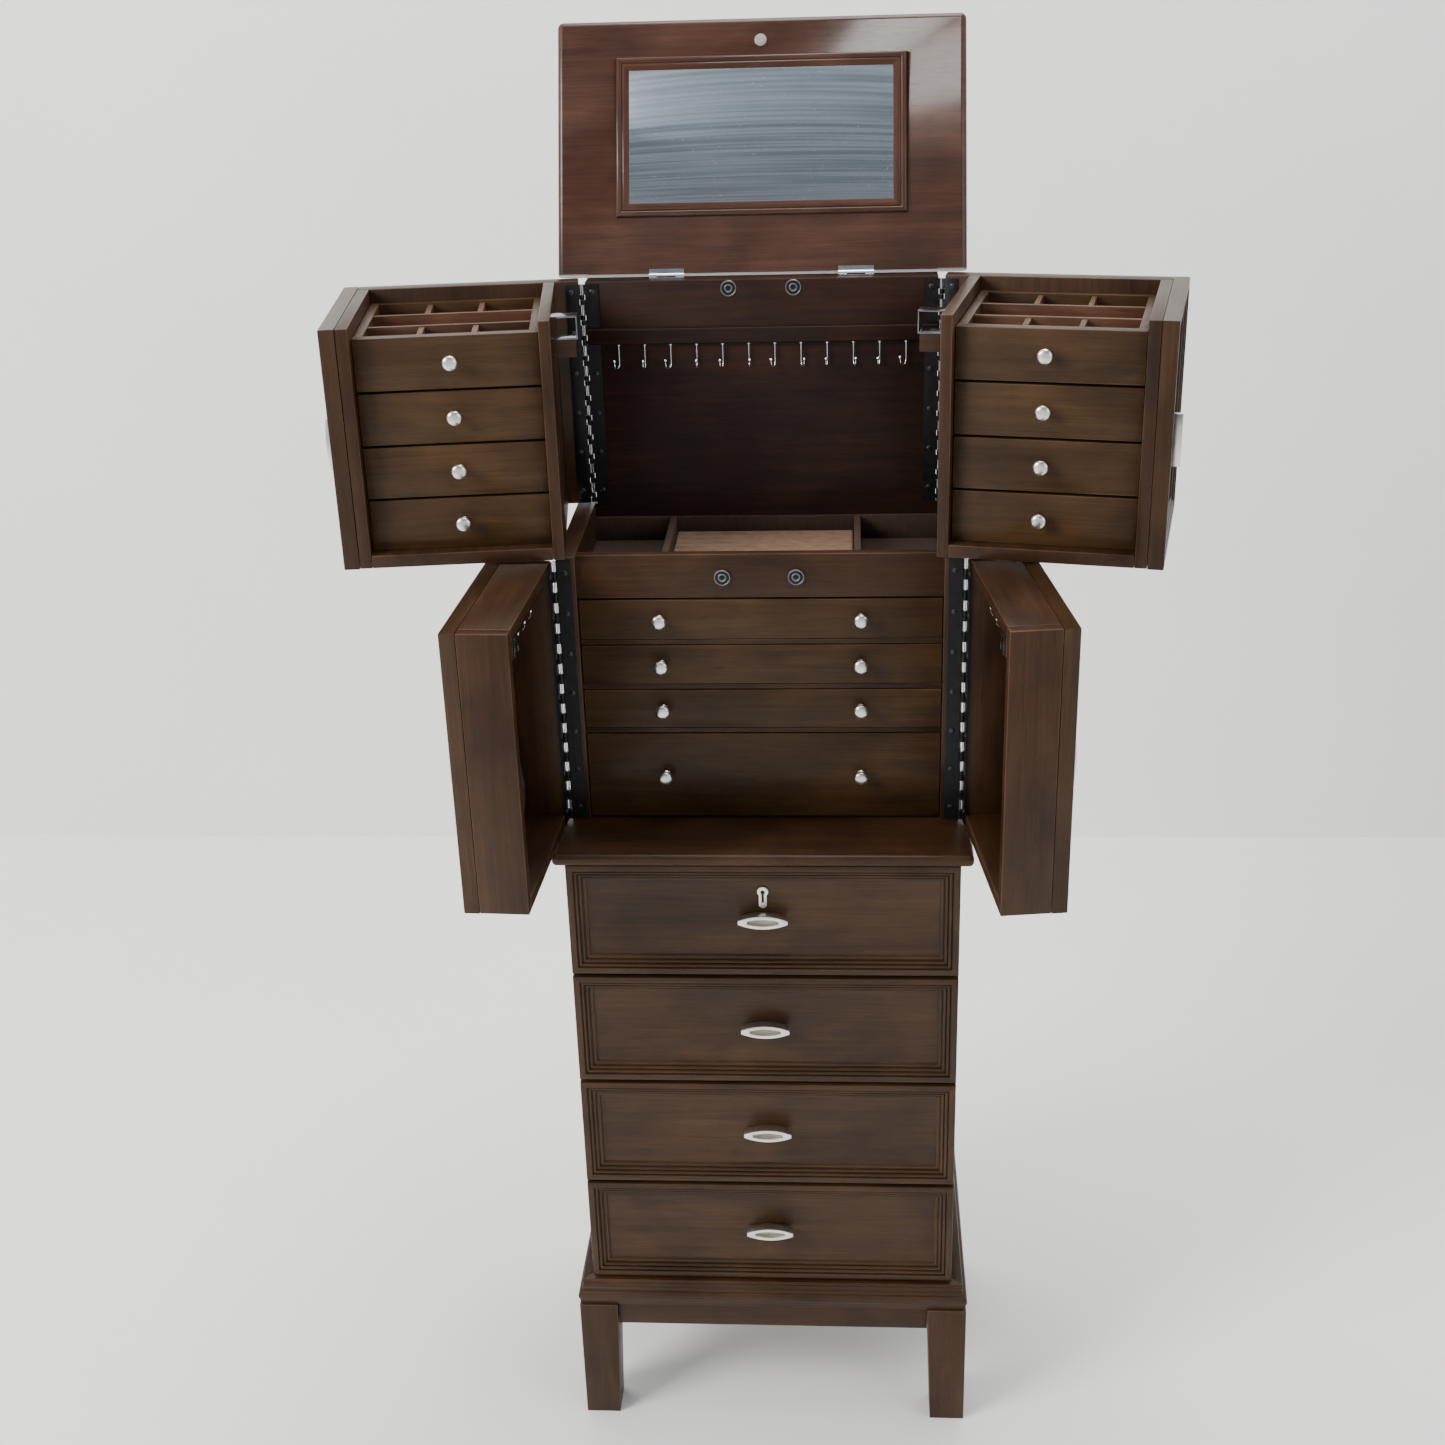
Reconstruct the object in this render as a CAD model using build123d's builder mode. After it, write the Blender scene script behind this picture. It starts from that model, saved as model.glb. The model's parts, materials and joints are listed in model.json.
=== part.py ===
from build123d import *
import os
from math import atan2, cos, degrees, radians, sin

# Jewelry armoire, millimetres. +X is the right-hand side seen from the front, +Y runs to the back and
# +Z is up. The origin is on the floor under the middle of the open armoire's outline.

os.makedirs("parts", exist_ok=True)

# ---------------------------------------------------------------- driving dimensions
face_y = -120.0  # plane of the four large drawer fronts
joint_gap = 0.2  # glue line left between neighbouring boards
rear_y = face_y + 256.0  # back of the carcass

# stand and base
leg_half = 206.0  # outer half width over the legs
leg_height = 148.0
leg_top, leg_foot = 41.0, 36.5
leg_y = face_y - 8.0
apron_drop = 27.0
apron_setback = 4.0
base_height = 31.5
base_reach = 5.0  # how far the moulding stands ahead of the drawer fronts
base_ring = 24.0

# lower chest
front_width = 380.0
front_height = 121.0
front_gap = 4.0
front_thick = 18.0
chest_half = 187.0
chest_side = 15.0
drawer_base = 181.5  # lower edge of the lowest front
panel_thick = 6.0
ledge_under, ledge_top = 678.5, 690.5
ledge_half = 202.0
ledge_round = 5.0

# middle case
case_half = 190.5
case_side = 18.0
case_y = face_y + 72.0  # front edge of its sides
shelf_thick = 5.0
row_face_y = face_y + 77.0  # faces of the three shallow and one deep drawer, and of the rail
row_half = 171.6
row_thick = 12.0
row_heights = (39.5, 39.5, 39.5, 89.2)
row_top = 920.8
row_gap = 6.7
rail_low, case_top = 923.0, 966.0
rail_thick = 10.0
tray_floor_top = 926.8
tray_rim = 953.0
divider_x = 92.3
divider_thick = 6.5
roll_pitch = 12.6

# back panel, hook bar
panel_y = face_y + 234.5  # front of the back panel
panel_half = 170.0
panel_top = 1189.5
bar_low, bar_high = 1129.0, 1144.5
hook_pitch = 25.4
hook_count = 12
wire = 0.8
magnet_radius = 7.8

# doors: upper boxes (pins on the back panel) and lower doors (pins on the middle case)
upper_pin = (173.0, face_y + 233.9)
upper_angles = {-1: 83.5, 1: 78.5}
upper_low, upper_high = 967.5, 1190.4
upper_wall = 16.0
inner_panel = (26.0, 36.6)
outer_wall = (204.0, 215.2)
upper_front = 171.8  # plane of the walls' free edges, measured from the pin plane
small_recess = 14.2  # the drawer fronts lie this deep between the walls, so the knobs clear
face_board = 14.6
small_top = 1177.6
small_height = 47.5
small_pitch = 50.0
small_side = 8.0
lower_pin = (192.0, face_y + 69.5)
lower_angles = {-1: 93.0, 1: 97.0}
lower_low, lower_high = 692.5, 964.5
lower_depth = (2.5, 48.2)
lower_stile = 11.5
lower_reach = 191.0

# hinges
knuckle = 2.4
pin_radius = 1.2
pin_play = 0.08
leaf_thick = 1.2
leaf_width = 15.5
knuckle_pitch = 20.0

# lid
lid_pin = (panel_y + 14.5, 1191.6)
lid_knuckle = 1.9
lid_pin_radius = 1.0
lid_lean = 24.0
lid_half = 198.0
lid_hinge_x = 91.5
lid_length = 246.0
lid_thick = 16.0
mirror_low, mirror_high, mirror_half = 54.0, 208.5, 140.5
mirror_frame = 13.0

# metalwork
knob_radius = 6.8
knob_reach = 14.0
pull_length = 48.0
pull_reach = 14.5
pull_collar = 8.5


# ---------------------------------------------------------------- shared shapes
def board(frame, u, v, z, **options):
    """Add a board that spans the pairs u, v and z; frame may be upright or upside down."""
    low = z[0] if frame.z_dir.Z > 0 else -z[1]
    with BuildSketch(frame.offset(low)) as outline:
        with Locations(((u[0] + u[1]) / 2, (v[0] + v[1]) / 2)):
            Rectangle(u[1] - u[0], v[1] - v[0])
    extrude(outline.sketch, amount=z[1] - z[0], **options)


def swing_frame(side, pin, u_angle):
    """Plane standing at a hinge pin: local X runs away from the pin along the leaf, and local Y runs
    to the side that faces the middle of the armoire. On the right it is upside down."""
    u_dir = (side * sin(radians(u_angle)), -cos(radians(u_angle)), 0)
    return Plane(origin=(side * pin[0], pin[1], 0), x_dir=u_dir, z_dir=(0, 0, -side))


def seat(frame, u, v, z, outward, along):
    """Plane at a point of a frame, with its Z along outward and its X along along (frame axes)."""
    flip = 1 if frame.z_dir.Z > 0 else -1
    centre = frame.from_local_coords(Vector(u, v, flip * z))

    def turn(d):
        return frame.x_dir * d[0] + frame.y_dir * d[1] + Vector(0, 0, d[2])

    return Plane(origin=centre, x_dir=turn(along), z_dir=turn(outward))


def knob(base):
    """Turned knob: a flared foot, a neck and a domed head."""
    with BuildSketch(Plane(base.origin, x_dir=base.x_dir, z_dir=-base.y_dir)) as profile:
        with BuildLine():
            Polyline((0, 0), (4.6, 0), (4.6, 1.2))
            Spline((4.6, 1.2), (2.9, 3.8), (4.4, 6.8), tangents=((-1, 1.2), (1.2, 1)))
            Spline((4.4, 6.8), (knob_radius, 9.4), (0, knob_reach), tangents=((1, 0.6), (-1, 0)))
            Line((0, knob_reach), (0, 0))
        make_face()
    revolve(profile.sketch, axis=Axis(base.origin, base.z_dir))


def lens(plane, length, height):
    """Oval of two arcs with blunt ends."""
    tip = length / 2 + 4
    with BuildSketch(plane) as oval:
        with BuildLine():
            ThreePointArc((-tip, 0), (0, height / 2), (tip, 0))
            ThreePointArc((tip, 0), (0, -height / 2), (-tip, 0))
        make_face()
        Rectangle(length, height, mode=Mode.INTERSECT)
    return oval.sketch


def pull(base):
    """Finger pull: a flared oval body with a hollow in its face."""
    rim = lens(base.offset(pull_reach - pull_collar), pull_length, 14)
    loft([lens(base, pull_length - 9, 8), rim])
    extrude(rim, amount=pull_collar)
    extrude(lens(base.offset(pull_reach), pull_length - 17, 7.5), amount=-10, mode=Mode.SUBTRACT)


def framed_recess(base, width, height):
    """Cut a mitred picture-frame moulding of stepped beads into a front; base is on its face."""
    for inset, depth in ((6.5, 1.8), (10.5, 3.6), (14.5, 5.4), (19.0, 7.5)):
        with BuildSketch(base) as step:
            Rectangle(width - 2 * inset, height - 2 * inset)
        extrude(step.sketch, amount=-depth, taper=18, mode=Mode.SUBTRACT)


def cup_hook(point, heading):
    """Wire hook that hangs from a point and opens towards heading (degrees about +Z)."""
    stem, bend = 18.5, 4.8
    side = Vector(cos(radians(heading)), sin(radians(heading)), 0)
    plane = Plane(origin=point, x_dir=side, z_dir=side.cross(Vector(0, 0, 1)))
    with BuildLine(plane) as path:
        Line((0, 0), (0, -stem))
        ThreePointArc((0, -stem), (bend, -stem - bend), (2 * bend, -stem))
        Line((2 * bend, -stem), (2 * bend + 0.8, -stem + 3))
    with BuildSketch(Plane(origin=point, x_dir=side, z_dir=(0, 0, -1))) as section:
        Circle(wire)
    sweep(section.sketch, path=path.line)
    with Locations(plane.from_local_coords(Vector(2 * bend + 0.8, -stem + 3.6, 0))):
        Sphere(1.7)
    with BuildSketch(Plane(origin=point, z_dir=(0, 0, -1))) as collar:
        Circle(2.2)
    extrude(collar.sketch, amount=1.2)


def side_hook(plane):
    """Wire hook that reaches level out of a rail along the plane's X, dips and turns up."""
    up = 1 if plane.y_dir.Z > 0 else -1
    points = [(0, 0), (5, -0.6 * up), (11.5, -7.5 * up), (18, -3.5 * up), (19.5, 2.5 * up)]
    with BuildLine(plane) as path:
        Spline(*points, tangents=((1, 0), (0.1, up)))
    with BuildSketch(Plane(origin=plane.origin, x_dir=plane.y_dir, z_dir=plane.x_dir)) as section:
        Circle(wire + 0.1)
    sweep(section.sketch, path=path.line)
    with Locations(plane.from_local_coords(Vector(19.6, 3.2 * up, 0))):
        Sphere(1.7)


def hinge_leaf(frame, z, leaf_v, leaf_side, carries_pin):
    """Long hinge leaf with spaced pairs of short knuckles; the bare pin shows between the pairs."""
    count = round((z[1] - z[0]) / knuckle_pitch)
    pitch = (z[1] - z[0]) / count
    start = 0 if carries_pin else pitch / 4
    plate = sorted((leaf_side * 2.8, leaf_side * leaf_width))
    root = sorted((0, leaf_side * 3.2))
    board(frame, plate, leaf_v, z)
    for i in range(count):
        low = z[0] + i * pitch + start + 0.2
        span = (low, low + pitch / 4 - 0.4)
        board(frame, root, leaf_v, span)
        with BuildSketch(frame.offset(span[0] if frame.z_dir.Z > 0 else -span[1])) as ring:
            Circle(knuckle)
        extrude(ring.sketch, amount=span[1] - span[0])
    radius = pin_radius if carries_pin else pin_radius + pin_play
    with BuildSketch(frame.offset(z[0] if frame.z_dir.Z > 0 else -z[1])) as core:
        Circle(radius)
    extrude(core.sketch, amount=z[1] - z[0], mode=Mode.ADD if carries_pin else Mode.SUBTRACT)


def drawer_box(frame, u, v, z, wall, front_v):
    """Sides, back and floor behind a drawer front; front_v is the back face of that front."""
    back_v, near_v = (v[0], front_v) if front_v > v[0] else (v[1], front_v)
    way = 1 if near_v > back_v else -1
    inner = near_v - way * joint_gap
    for edge, grow in ((u[0], wall), (u[1], -wall)):
        board(frame, sorted((edge, edge + grow)), sorted((back_v, inner)), z)
    between = (u[0] + wall + joint_gap, u[1] - wall - joint_gap)
    board(frame, between, sorted((back_v, back_v + way * wall)), z)
    floor_v = sorted((back_v + way * (wall + joint_gap), inner))
    board(frame, between, floor_v, (z[0], z[0] + 3.0))


def save(builder, label):
    """Label a finished piece and write it."""
    builder.part.label = label
    export_step(builder.part, f"parts/{label}.step")


ground = Plane.XY

# ---------------------------------------------------------------- stand
with BuildPart() as stand:
    for sx in (-1, 1):
        for sy, edge in ((1, leg_y), (-1, rear_y + 2)):
            with BuildSketch(ground) as foot:
                with Locations((sx * (leg_half - leg_foot / 2), edge + sy * leg_foot / 2)):
                    Rectangle(leg_foot, leg_foot)
            with BuildSketch(ground.offset(leg_height)) as head:
                with Locations((sx * (leg_half - leg_top / 2), edge + sy * leg_top / 2)):
                    Rectangle(leg_top, leg_top)
            loft([foot.sketch, head.sketch])
    apron_z = (leg_height - apron_drop, leg_height)
    inner_x = leg_half - leg_top - joint_gap
    for edge in (leg_y + apron_setback, rear_y + 2 - apron_setback - 16):
        board(ground, (-inner_x, inner_x), (edge, edge + 16), apron_z)
    for sx in (-1, 1):
        outer = sorted((sx * (leg_half - apron_setback), sx * (leg_half - apron_setback - 16)))
        board(ground, outer, (leg_y + leg_top + joint_gap, rear_y + 2 - leg_top - joint_gap), apron_z)
save(stand, "stand")


# ---------------------------------------------------------------- base moulding
def moulding_length(length, name):
    """One mitred length of the base moulding, its outer side towards -Y and its ends at 45 degrees."""
    with BuildPart() as piece:
        with BuildSketch(Plane.YZ.offset(-length / 2)) as profile:
            with BuildLine():
                Polyline((base_ring, 0), (2.5, 0), (2.5, 4), (0.8, 5.5), (0.8, 7.5))
                ThreePointArc((0.8, 7.5), (-0.6, 12.5), (0.8, 17.5))
                Polyline((0.8, 17.5), (3.2, 18.5), (3.2, 20.5))
                ThreePointArc((3.2, 20.5), (5.0, 24.8), (4.0, 29.0))
                Polyline((4.0, 29.0), (4.8, base_height), (base_ring, base_height), (base_ring, 0))
            make_face()
        extrude(profile.sketch, amount=length)
        for end in (-1, 1):
            corner = end * length / 2
            with BuildSketch(ground) as waste:
                with BuildLine():
                    Polyline((corner - end * joint_gap / 2, 0), (corner - end * 30, 30), (corner, 30))
                    Polyline((corner, 30), (corner, -3), (corner - end * joint_gap / 2, -3))
                    Line((corner - end * joint_gap / 2, -3), (corner - end * joint_gap / 2, 0))
                make_face()
            extrude(waste.sketch, amount=base_height, mode=Mode.SUBTRACT)
    piece.part.label = name
    return piece.part


base_front = face_y - base_reach - 3.2
base_back = rear_y + 1
base_depth = base_back - base_front
with BuildPart() as base_moulding:
    front_piece = moulding_length(2 * leg_half, "front")
    side_piece = moulding_length(base_depth, "side")
    middle_y = (base_front + base_back) / 2
    with Locations(Location((0, base_front, leg_height))):
        add(front_piece)
    with Locations(Location((0, base_back, leg_height), (0, 0, 180))):
        add(front_piece)
    with Locations(Location((-leg_half, middle_y, leg_height), (0, 0, -90))):
        add(side_piece)
    with Locations(Location((leg_half, middle_y, leg_height), (0, 0, 90))):
        add(side_piece)
save(base_moulding, "base_moulding")

# ---------------------------------------------------------------- lower chest
chest_in = chest_half - chest_side
board_y = face_y + front_thick + 0.4
chest_low = leg_height + base_height + joint_gap
with BuildPart() as lower_case:
    chest_z = (chest_low, ledge_under - joint_gap)
    for sx in (-1, 1):
        board(ground, sorted((sx * chest_in, sx * chest_half)), (board_y, rear_y - 3), chest_z)
    inside = (-chest_in + joint_gap, chest_in - joint_gap)
    board(ground, inside, (rear_y - 8, rear_y - 3), chest_z)
    board(ground, inside, (board_y, rear_y - 8.2), (chest_low, chest_low + 3))
    for i in range(1, 4):
        low = drawer_base + i * (front_height + front_gap) - front_gap / 2 - panel_thick / 2
        board(ground, inside, (board_y, rear_y - 8.2), (low, low + panel_thick))
    board(ground, inside, (board_y, board_y + 40), (ledge_under - 8, ledge_under - joint_gap))
save(lower_case, "lower_case")

lock_slot = ((-8, 8), (face_y + 9, face_y + 15))
with BuildPart() as ledge_board:
    board(ground, (-ledge_half, ledge_half), (face_y - 4.5, rear_y), (ledge_under, ledge_top))
    fillet(ledge_board.edges().filter_by(Axis.Z).group_by(Axis.Y)[0], 4)
    rounded = ledge_board.faces().sort_by(Axis.Z)
    outer_edges = rounded[0].outer_wire().edges() + rounded[-1].outer_wire().edges()
    rear_edges = ledge_board.edges().filter_by(Axis.X).group_by(Axis.Y)[-1]
    fillet([e for e in outer_edges if e not in rear_edges], ledge_round)
    board(ground, *lock_slot, (ledge_under, ledge_under + 6.5), mode=Mode.SUBTRACT)
save(ledge_board, "ledge_board")

for i in range(4):
    low = drawer_base + (3 - i) * (front_height + front_gap)
    mid = low + front_height / 2
    with BuildPart() as big_drawer:
        half = front_width / 2
        board(ground, (-half, half), (face_y, face_y + front_thick), (low, low + front_height))
        fillet(big_drawer.edges().group_by(Axis.Y)[0], 1.2)
        face = Plane(origin=(0, face_y, mid), x_dir=(1, 0, 0), z_dir=(0, -1, 0))
        framed_recess(face, front_width, front_height)
        box_half = chest_in - 2.0
        box_z = (low + 1.4, low + 100)
        drawer_box(
            ground,
            (-box_half, box_half),
            (face_y + front_thick, rear_y - 20),
            box_z,
            9.0,
            face_y + front_thick,
        )
        if i == 0:
            board(ground, (-7, 7), (face_y + 9.5, face_y + 14.5), (mid + 20, mid + 61), mode=Mode.SUBTRACT)
    save(big_drawer, f"large_drawer_{i + 1}")
    with BuildPart() as big_pull:
        pull(Plane(origin=(0, face_y + 7.5, mid + 2), x_dir=(1, 0, 0), z_dir=(0, -1, 0)))
    save(big_pull, f"large_drawer_{i + 1}_pull")

lock_z = drawer_base + 3 * (front_height + front_gap) + front_height / 2
with BuildPart() as drawer_lock:
    plate = Plane(origin=(0, face_y + 7.5, lock_z + 24), x_dir=(1, 0, 0), z_dir=(0, -1, 0))
    with BuildSketch(plate) as escutcheon:
        with Locations((0, 5)):
            Circle(5.4)
        with Locations((0, -2)):
            Rectangle(7.6, 14)
        with Locations((0, -9)):
            Circle(3.8)
    extrude(escutcheon.sketch, amount=1.2)
    with BuildSketch(plate) as keyhole:
        with Locations((0, 4.5)):
            Circle(2.2)
        with Locations((0, -1.5)):
            Rectangle(2.2, 11)
    extrude(keyhole.sketch, amount=1.2, mode=Mode.SUBTRACT)
save(drawer_lock, "keyhole_escutcheon")

with BuildPart() as lock_bolt:
    board(ground, (-6.5, 6.5), (face_y + 10, face_y + 14), (lock_z + 21, lock_z + 60))
save(lock_bolt, "lock_bolt")

# ---------------------------------------------------------------- middle case
case_in = case_half - case_side
with BuildPart() as middle_case:
    for sx in (-1, 1):
        board(ground, sorted((sx * case_in, sx * case_half)), (case_y, rear_y), (ledge_top, case_top))
    span = (-case_in + joint_gap, case_in - joint_gap)
    high = row_top
    for i in range(3):
        high -= row_heights[i]
        shelf = (high - (row_gap + shelf_thick) / 2, high - (row_gap - shelf_thick) / 2)
        board(ground, span, (row_face_y + 1, panel_y - joint_gap), shelf)
        high -= row_gap
    board(ground, span, (row_face_y, row_face_y + rail_thick), (rail_low, case_top))
    floor_y = (row_face_y + rail_thick + joint_gap, panel_y - joint_gap)
    board(ground, span, floor_y, (tray_floor_top - 4.8, tray_floor_top))
save(middle_case, "middle_case")

tray_y = (row_face_y + rail_thick + joint_gap, panel_y - joint_gap)
tray_z = (tray_floor_top + joint_gap, tray_rim)
with BuildPart() as tray_liner:
    for sx in (-1, 1):
        middle = sx * divider_x
        board(ground, (middle - divider_thick / 2, middle + divider_thick / 2), tray_y, tray_z)
        cell = sorted((sx * (divider_x + divider_thick / 2 + joint_gap), sx * (case_in - joint_gap)))
        board(ground, cell, (tray_y[1] - 5, tray_y[1]), tray_z)
        board(ground, cell, (tray_y[0], tray_y[1] - 5.2), (tray_z[0], tray_z[0] + 2))
    room = divider_x - divider_thick / 2 - joint_gap
    board(ground, (-room, room), (tray_y[1] - 5, tray_y[1]), tray_z)
save(tray_liner, "tray_liner")

with BuildPart() as ring_rolls:
    roll_low = tray_z[0]
    roll_y = (tray_y[0] + 0.3, tray_y[1] - 5.4)
    roll_count = int((roll_y[1] - roll_y[0]) / roll_pitch)
    first = (roll_y[0] + roll_y[1]) / 2 - (roll_count - 1) * roll_pitch / 2
    with BuildSketch(Plane.YZ.offset(-room + 0.3)) as rolls:
        with Locations(((roll_y[0] + roll_y[1]) / 2, roll_low + 1.5)):
            Rectangle(roll_count * roll_pitch, 3)
        with Locations(*[(first + i * roll_pitch, roll_low + 6.6) for i in range(roll_count)]):
            Circle(roll_pitch / 2 + 0.15)
    extrude(rolls.sketch, amount=2 * room - 0.6)
save(ring_rolls, "ring_rolls")

with BuildPart() as back_panel:
    with BuildSketch(Plane(origin=(0, panel_y, 0), x_dir=(1, 0, 0), z_dir=(0, -1, 0))) as outline:
        with Locations((0, (ledge_top + case_top) / 2)):
            Rectangle(2 * (case_in - joint_gap), case_top - ledge_top - joint_gap)
        with Locations((0, (ledge_top + panel_top) / 2)):
            Rectangle(2 * panel_half, panel_top - ledge_top - joint_gap)
    extrude(outline.sketch, amount=-(rear_y - panel_y))
save(back_panel, "back_panel")

with BuildPart() as hook_bar:
    board(ground, (-169, 169), (panel_y - 6, panel_y), (bar_low, bar_high))
    fillet(hook_bar.edges().filter_by(Axis.X).group_by(Axis.Y)[0], 1.5)
    for sx in (-1, 1):
        rebate = sorted((sx * 156, sx * 170))
        board(ground, rebate, (panel_y - 1.5, panel_y), (bar_low, bar_high), mode=Mode.SUBTRACT)
save(hook_bar, "hook_bar")

hook_turns = (-112, -98, -118, -90, -104, -84, -110, -72, -96, -78, -100, -125)
with BuildPart() as necklace_hooks:
    for i, heading in enumerate(hook_turns):
        cup_hook(Vector((i - (hook_count - 1) / 2) * hook_pitch, panel_y - 3, bar_low), heading)
save(necklace_hooks, "necklace_hooks")

with BuildPart() as catch_magnets:
    spots = [(sx * 31.2, panel_y, 1181.0, 1.0) for sx in (-1, 1)]
    spots += [(sx * 34.6, row_face_y, 943.5, 3.0) for sx in (-1, 1)]
    for x, y, z, stand_off in spots:
        with BuildSketch(Plane(origin=(x, y, z), x_dir=(1, 0, 0), z_dir=(0, -1, 0))) as disc:
            Circle(magnet_radius)
        extrude(disc.sketch, amount=stand_off)
save(catch_magnets, "catch_magnets")


# ---------------------------------------------------------------- fixed hinge leaves
upper_leaf_z = (upper_low + 1.5, upper_high - 3)
lower_leaf_z = (lower_low + 1.5, lower_high - 1.5)
with BuildPart() as fixed_hinge_leaves:
    for side in (-1, 1):
        pin = Plane(origin=(side * upper_pin[0], upper_pin[1], 0))
        hinge_leaf(pin, upper_leaf_z, (-leaf_thick / 2, leaf_thick / 2), -side, True)
        pin = Plane(origin=(side * lower_pin[0], lower_pin[1], 0))
        hinge_leaf(pin, lower_leaf_z, (knuckle - leaf_thick, knuckle), -side, True)
save(fixed_hinge_leaves, "fixed_hinge_leaves")


# ---------------------------------------------------------------- upper boxes
def small_drawer(frame, z):
    """One small drawer; the top one of each box is divided into seven compartments."""
    u = (inner_panel[1] + 1.0, outer_wall[0] - 1.0)
    front = (upper_front - small_recess - 12, upper_front - small_recess)
    board(frame, u, front, z)
    drawer_box(frame, (u[0] + 0.3, u[1] - 0.3), (1.0, front[0]), (z[0], z[1] - 0.4), small_side, front[0])
    middle = (z[0] + z[1]) / 2 + 1.5
    knob(seat(frame, 117.0, front[1] + joint_gap, middle, (0, 1, 0), (1, 0, 0)))


def drawer_dividers(frame, z):
    """Two long dividers with cross pieces behind and in front of them."""
    u = (inner_panel[1] + 1.5 + small_side, outer_wall[0] - 1.5 - small_side)
    walls = (1.2 + small_side, upper_front - small_recess - 12.4)
    lanes = (53.5, 102.5)
    low, high = z[0] + 3.2, z[1] - 1.0
    for lane in lanes:
        board(frame, u, (lane, lane + 5), (low, high))
    third = (u[1] - u[0]) / 3
    for i in (1, 2):
        middle = u[0] + i * third
        for row in ((walls[0], lanes[0] - 0.2), (lanes[1] + 5.2, walls[1])):
            board(frame, (middle - 2.5, middle + 2.5), row, (low, high - 1))


for side, name in ((-1, "left"), (1, "right")):
    box = swing_frame(side, upper_pin, upper_angles[side])
    wall_v = (-leaf_thick / 2 - upper_wall, -leaf_thick / 2)
    box_z = (upper_low, upper_high)
    with BuildPart() as upper_case:
        board(box, (3, outer_wall[1]), wall_v, box_z)
        inner_v = (wall_v[1] + joint_gap, upper_front - 0.3)
        board(box, inner_panel, inner_v, box_z)
        board(box, outer_wall, inner_v, box_z)
        between = (inner_panel[1] + joint_gap, outer_wall[0] - joint_gap)
        board(box, between, inner_v, (upper_low, small_top - 3 * small_pitch - small_height - 0.5))
        for i in range(1, 4):
            gap_mid = small_top - i * small_pitch + (small_pitch - small_height) / 2
            shelf_v = (inner_v[0], upper_front - small_recess - 12.4)
            board(box, between, shelf_v, (gap_mid - 0.9, gap_mid + 0.9))
    save(upper_case, f"upper_{name}_case")

    with BuildPart() as upper_face:
        face_v = (wall_v[0], upper_front + 0.4)
        face_u = (outer_wall[1] + joint_gap, outer_wall[1] + joint_gap + face_board)
        board(box, face_u, face_v, box_z)
        middle = ((face_v[0] + face_v[1]) / 2, (upper_low + upper_high) / 2)
        outside = seat(box, face_u[1], middle[0], middle[1], (1, 0, 0), (0, 1, 0))
        framed_recess(outside, face_v[1] - face_v[0], upper_high - upper_low)
    save(upper_face, f"upper_{name}_face")

    with BuildPart() as upper_pull:
        pull(seat(box, face_u[1] - 7.5, upper_front - 30, middle[1], (1, 0, 0), (0, 0, 1)))
    save(upper_pull, f"upper_{name}_pull")

    with BuildPart() as upper_hardware:
        hinge_leaf(box, upper_leaf_z, (-leaf_thick / 2, leaf_thick / 2), 1, False)
        strike_v = (134.0, 150.0)
        board(box, (2.2, 3.6), strike_v, (1168, 1189))
        for low in (1168, 1187.6):
            board(box, (3.6, inner_panel[0]), strike_v, (low, low + 1.4))
        board(box, (4, inner_panel[0]), strike_v, (1152, 1167.8))
    save(upper_hardware, f"upper_{name}_hinge_and_strike")

    for i in range(4):
        high = small_top - i * small_pitch
        with BuildPart() as small:
            small_drawer(box, (high - small_height, high))
            if i == 0:
                drawer_dividers(box, (high - small_height, high))
        save(small, f"upper_{name}_drawer_{i + 1}")


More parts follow.
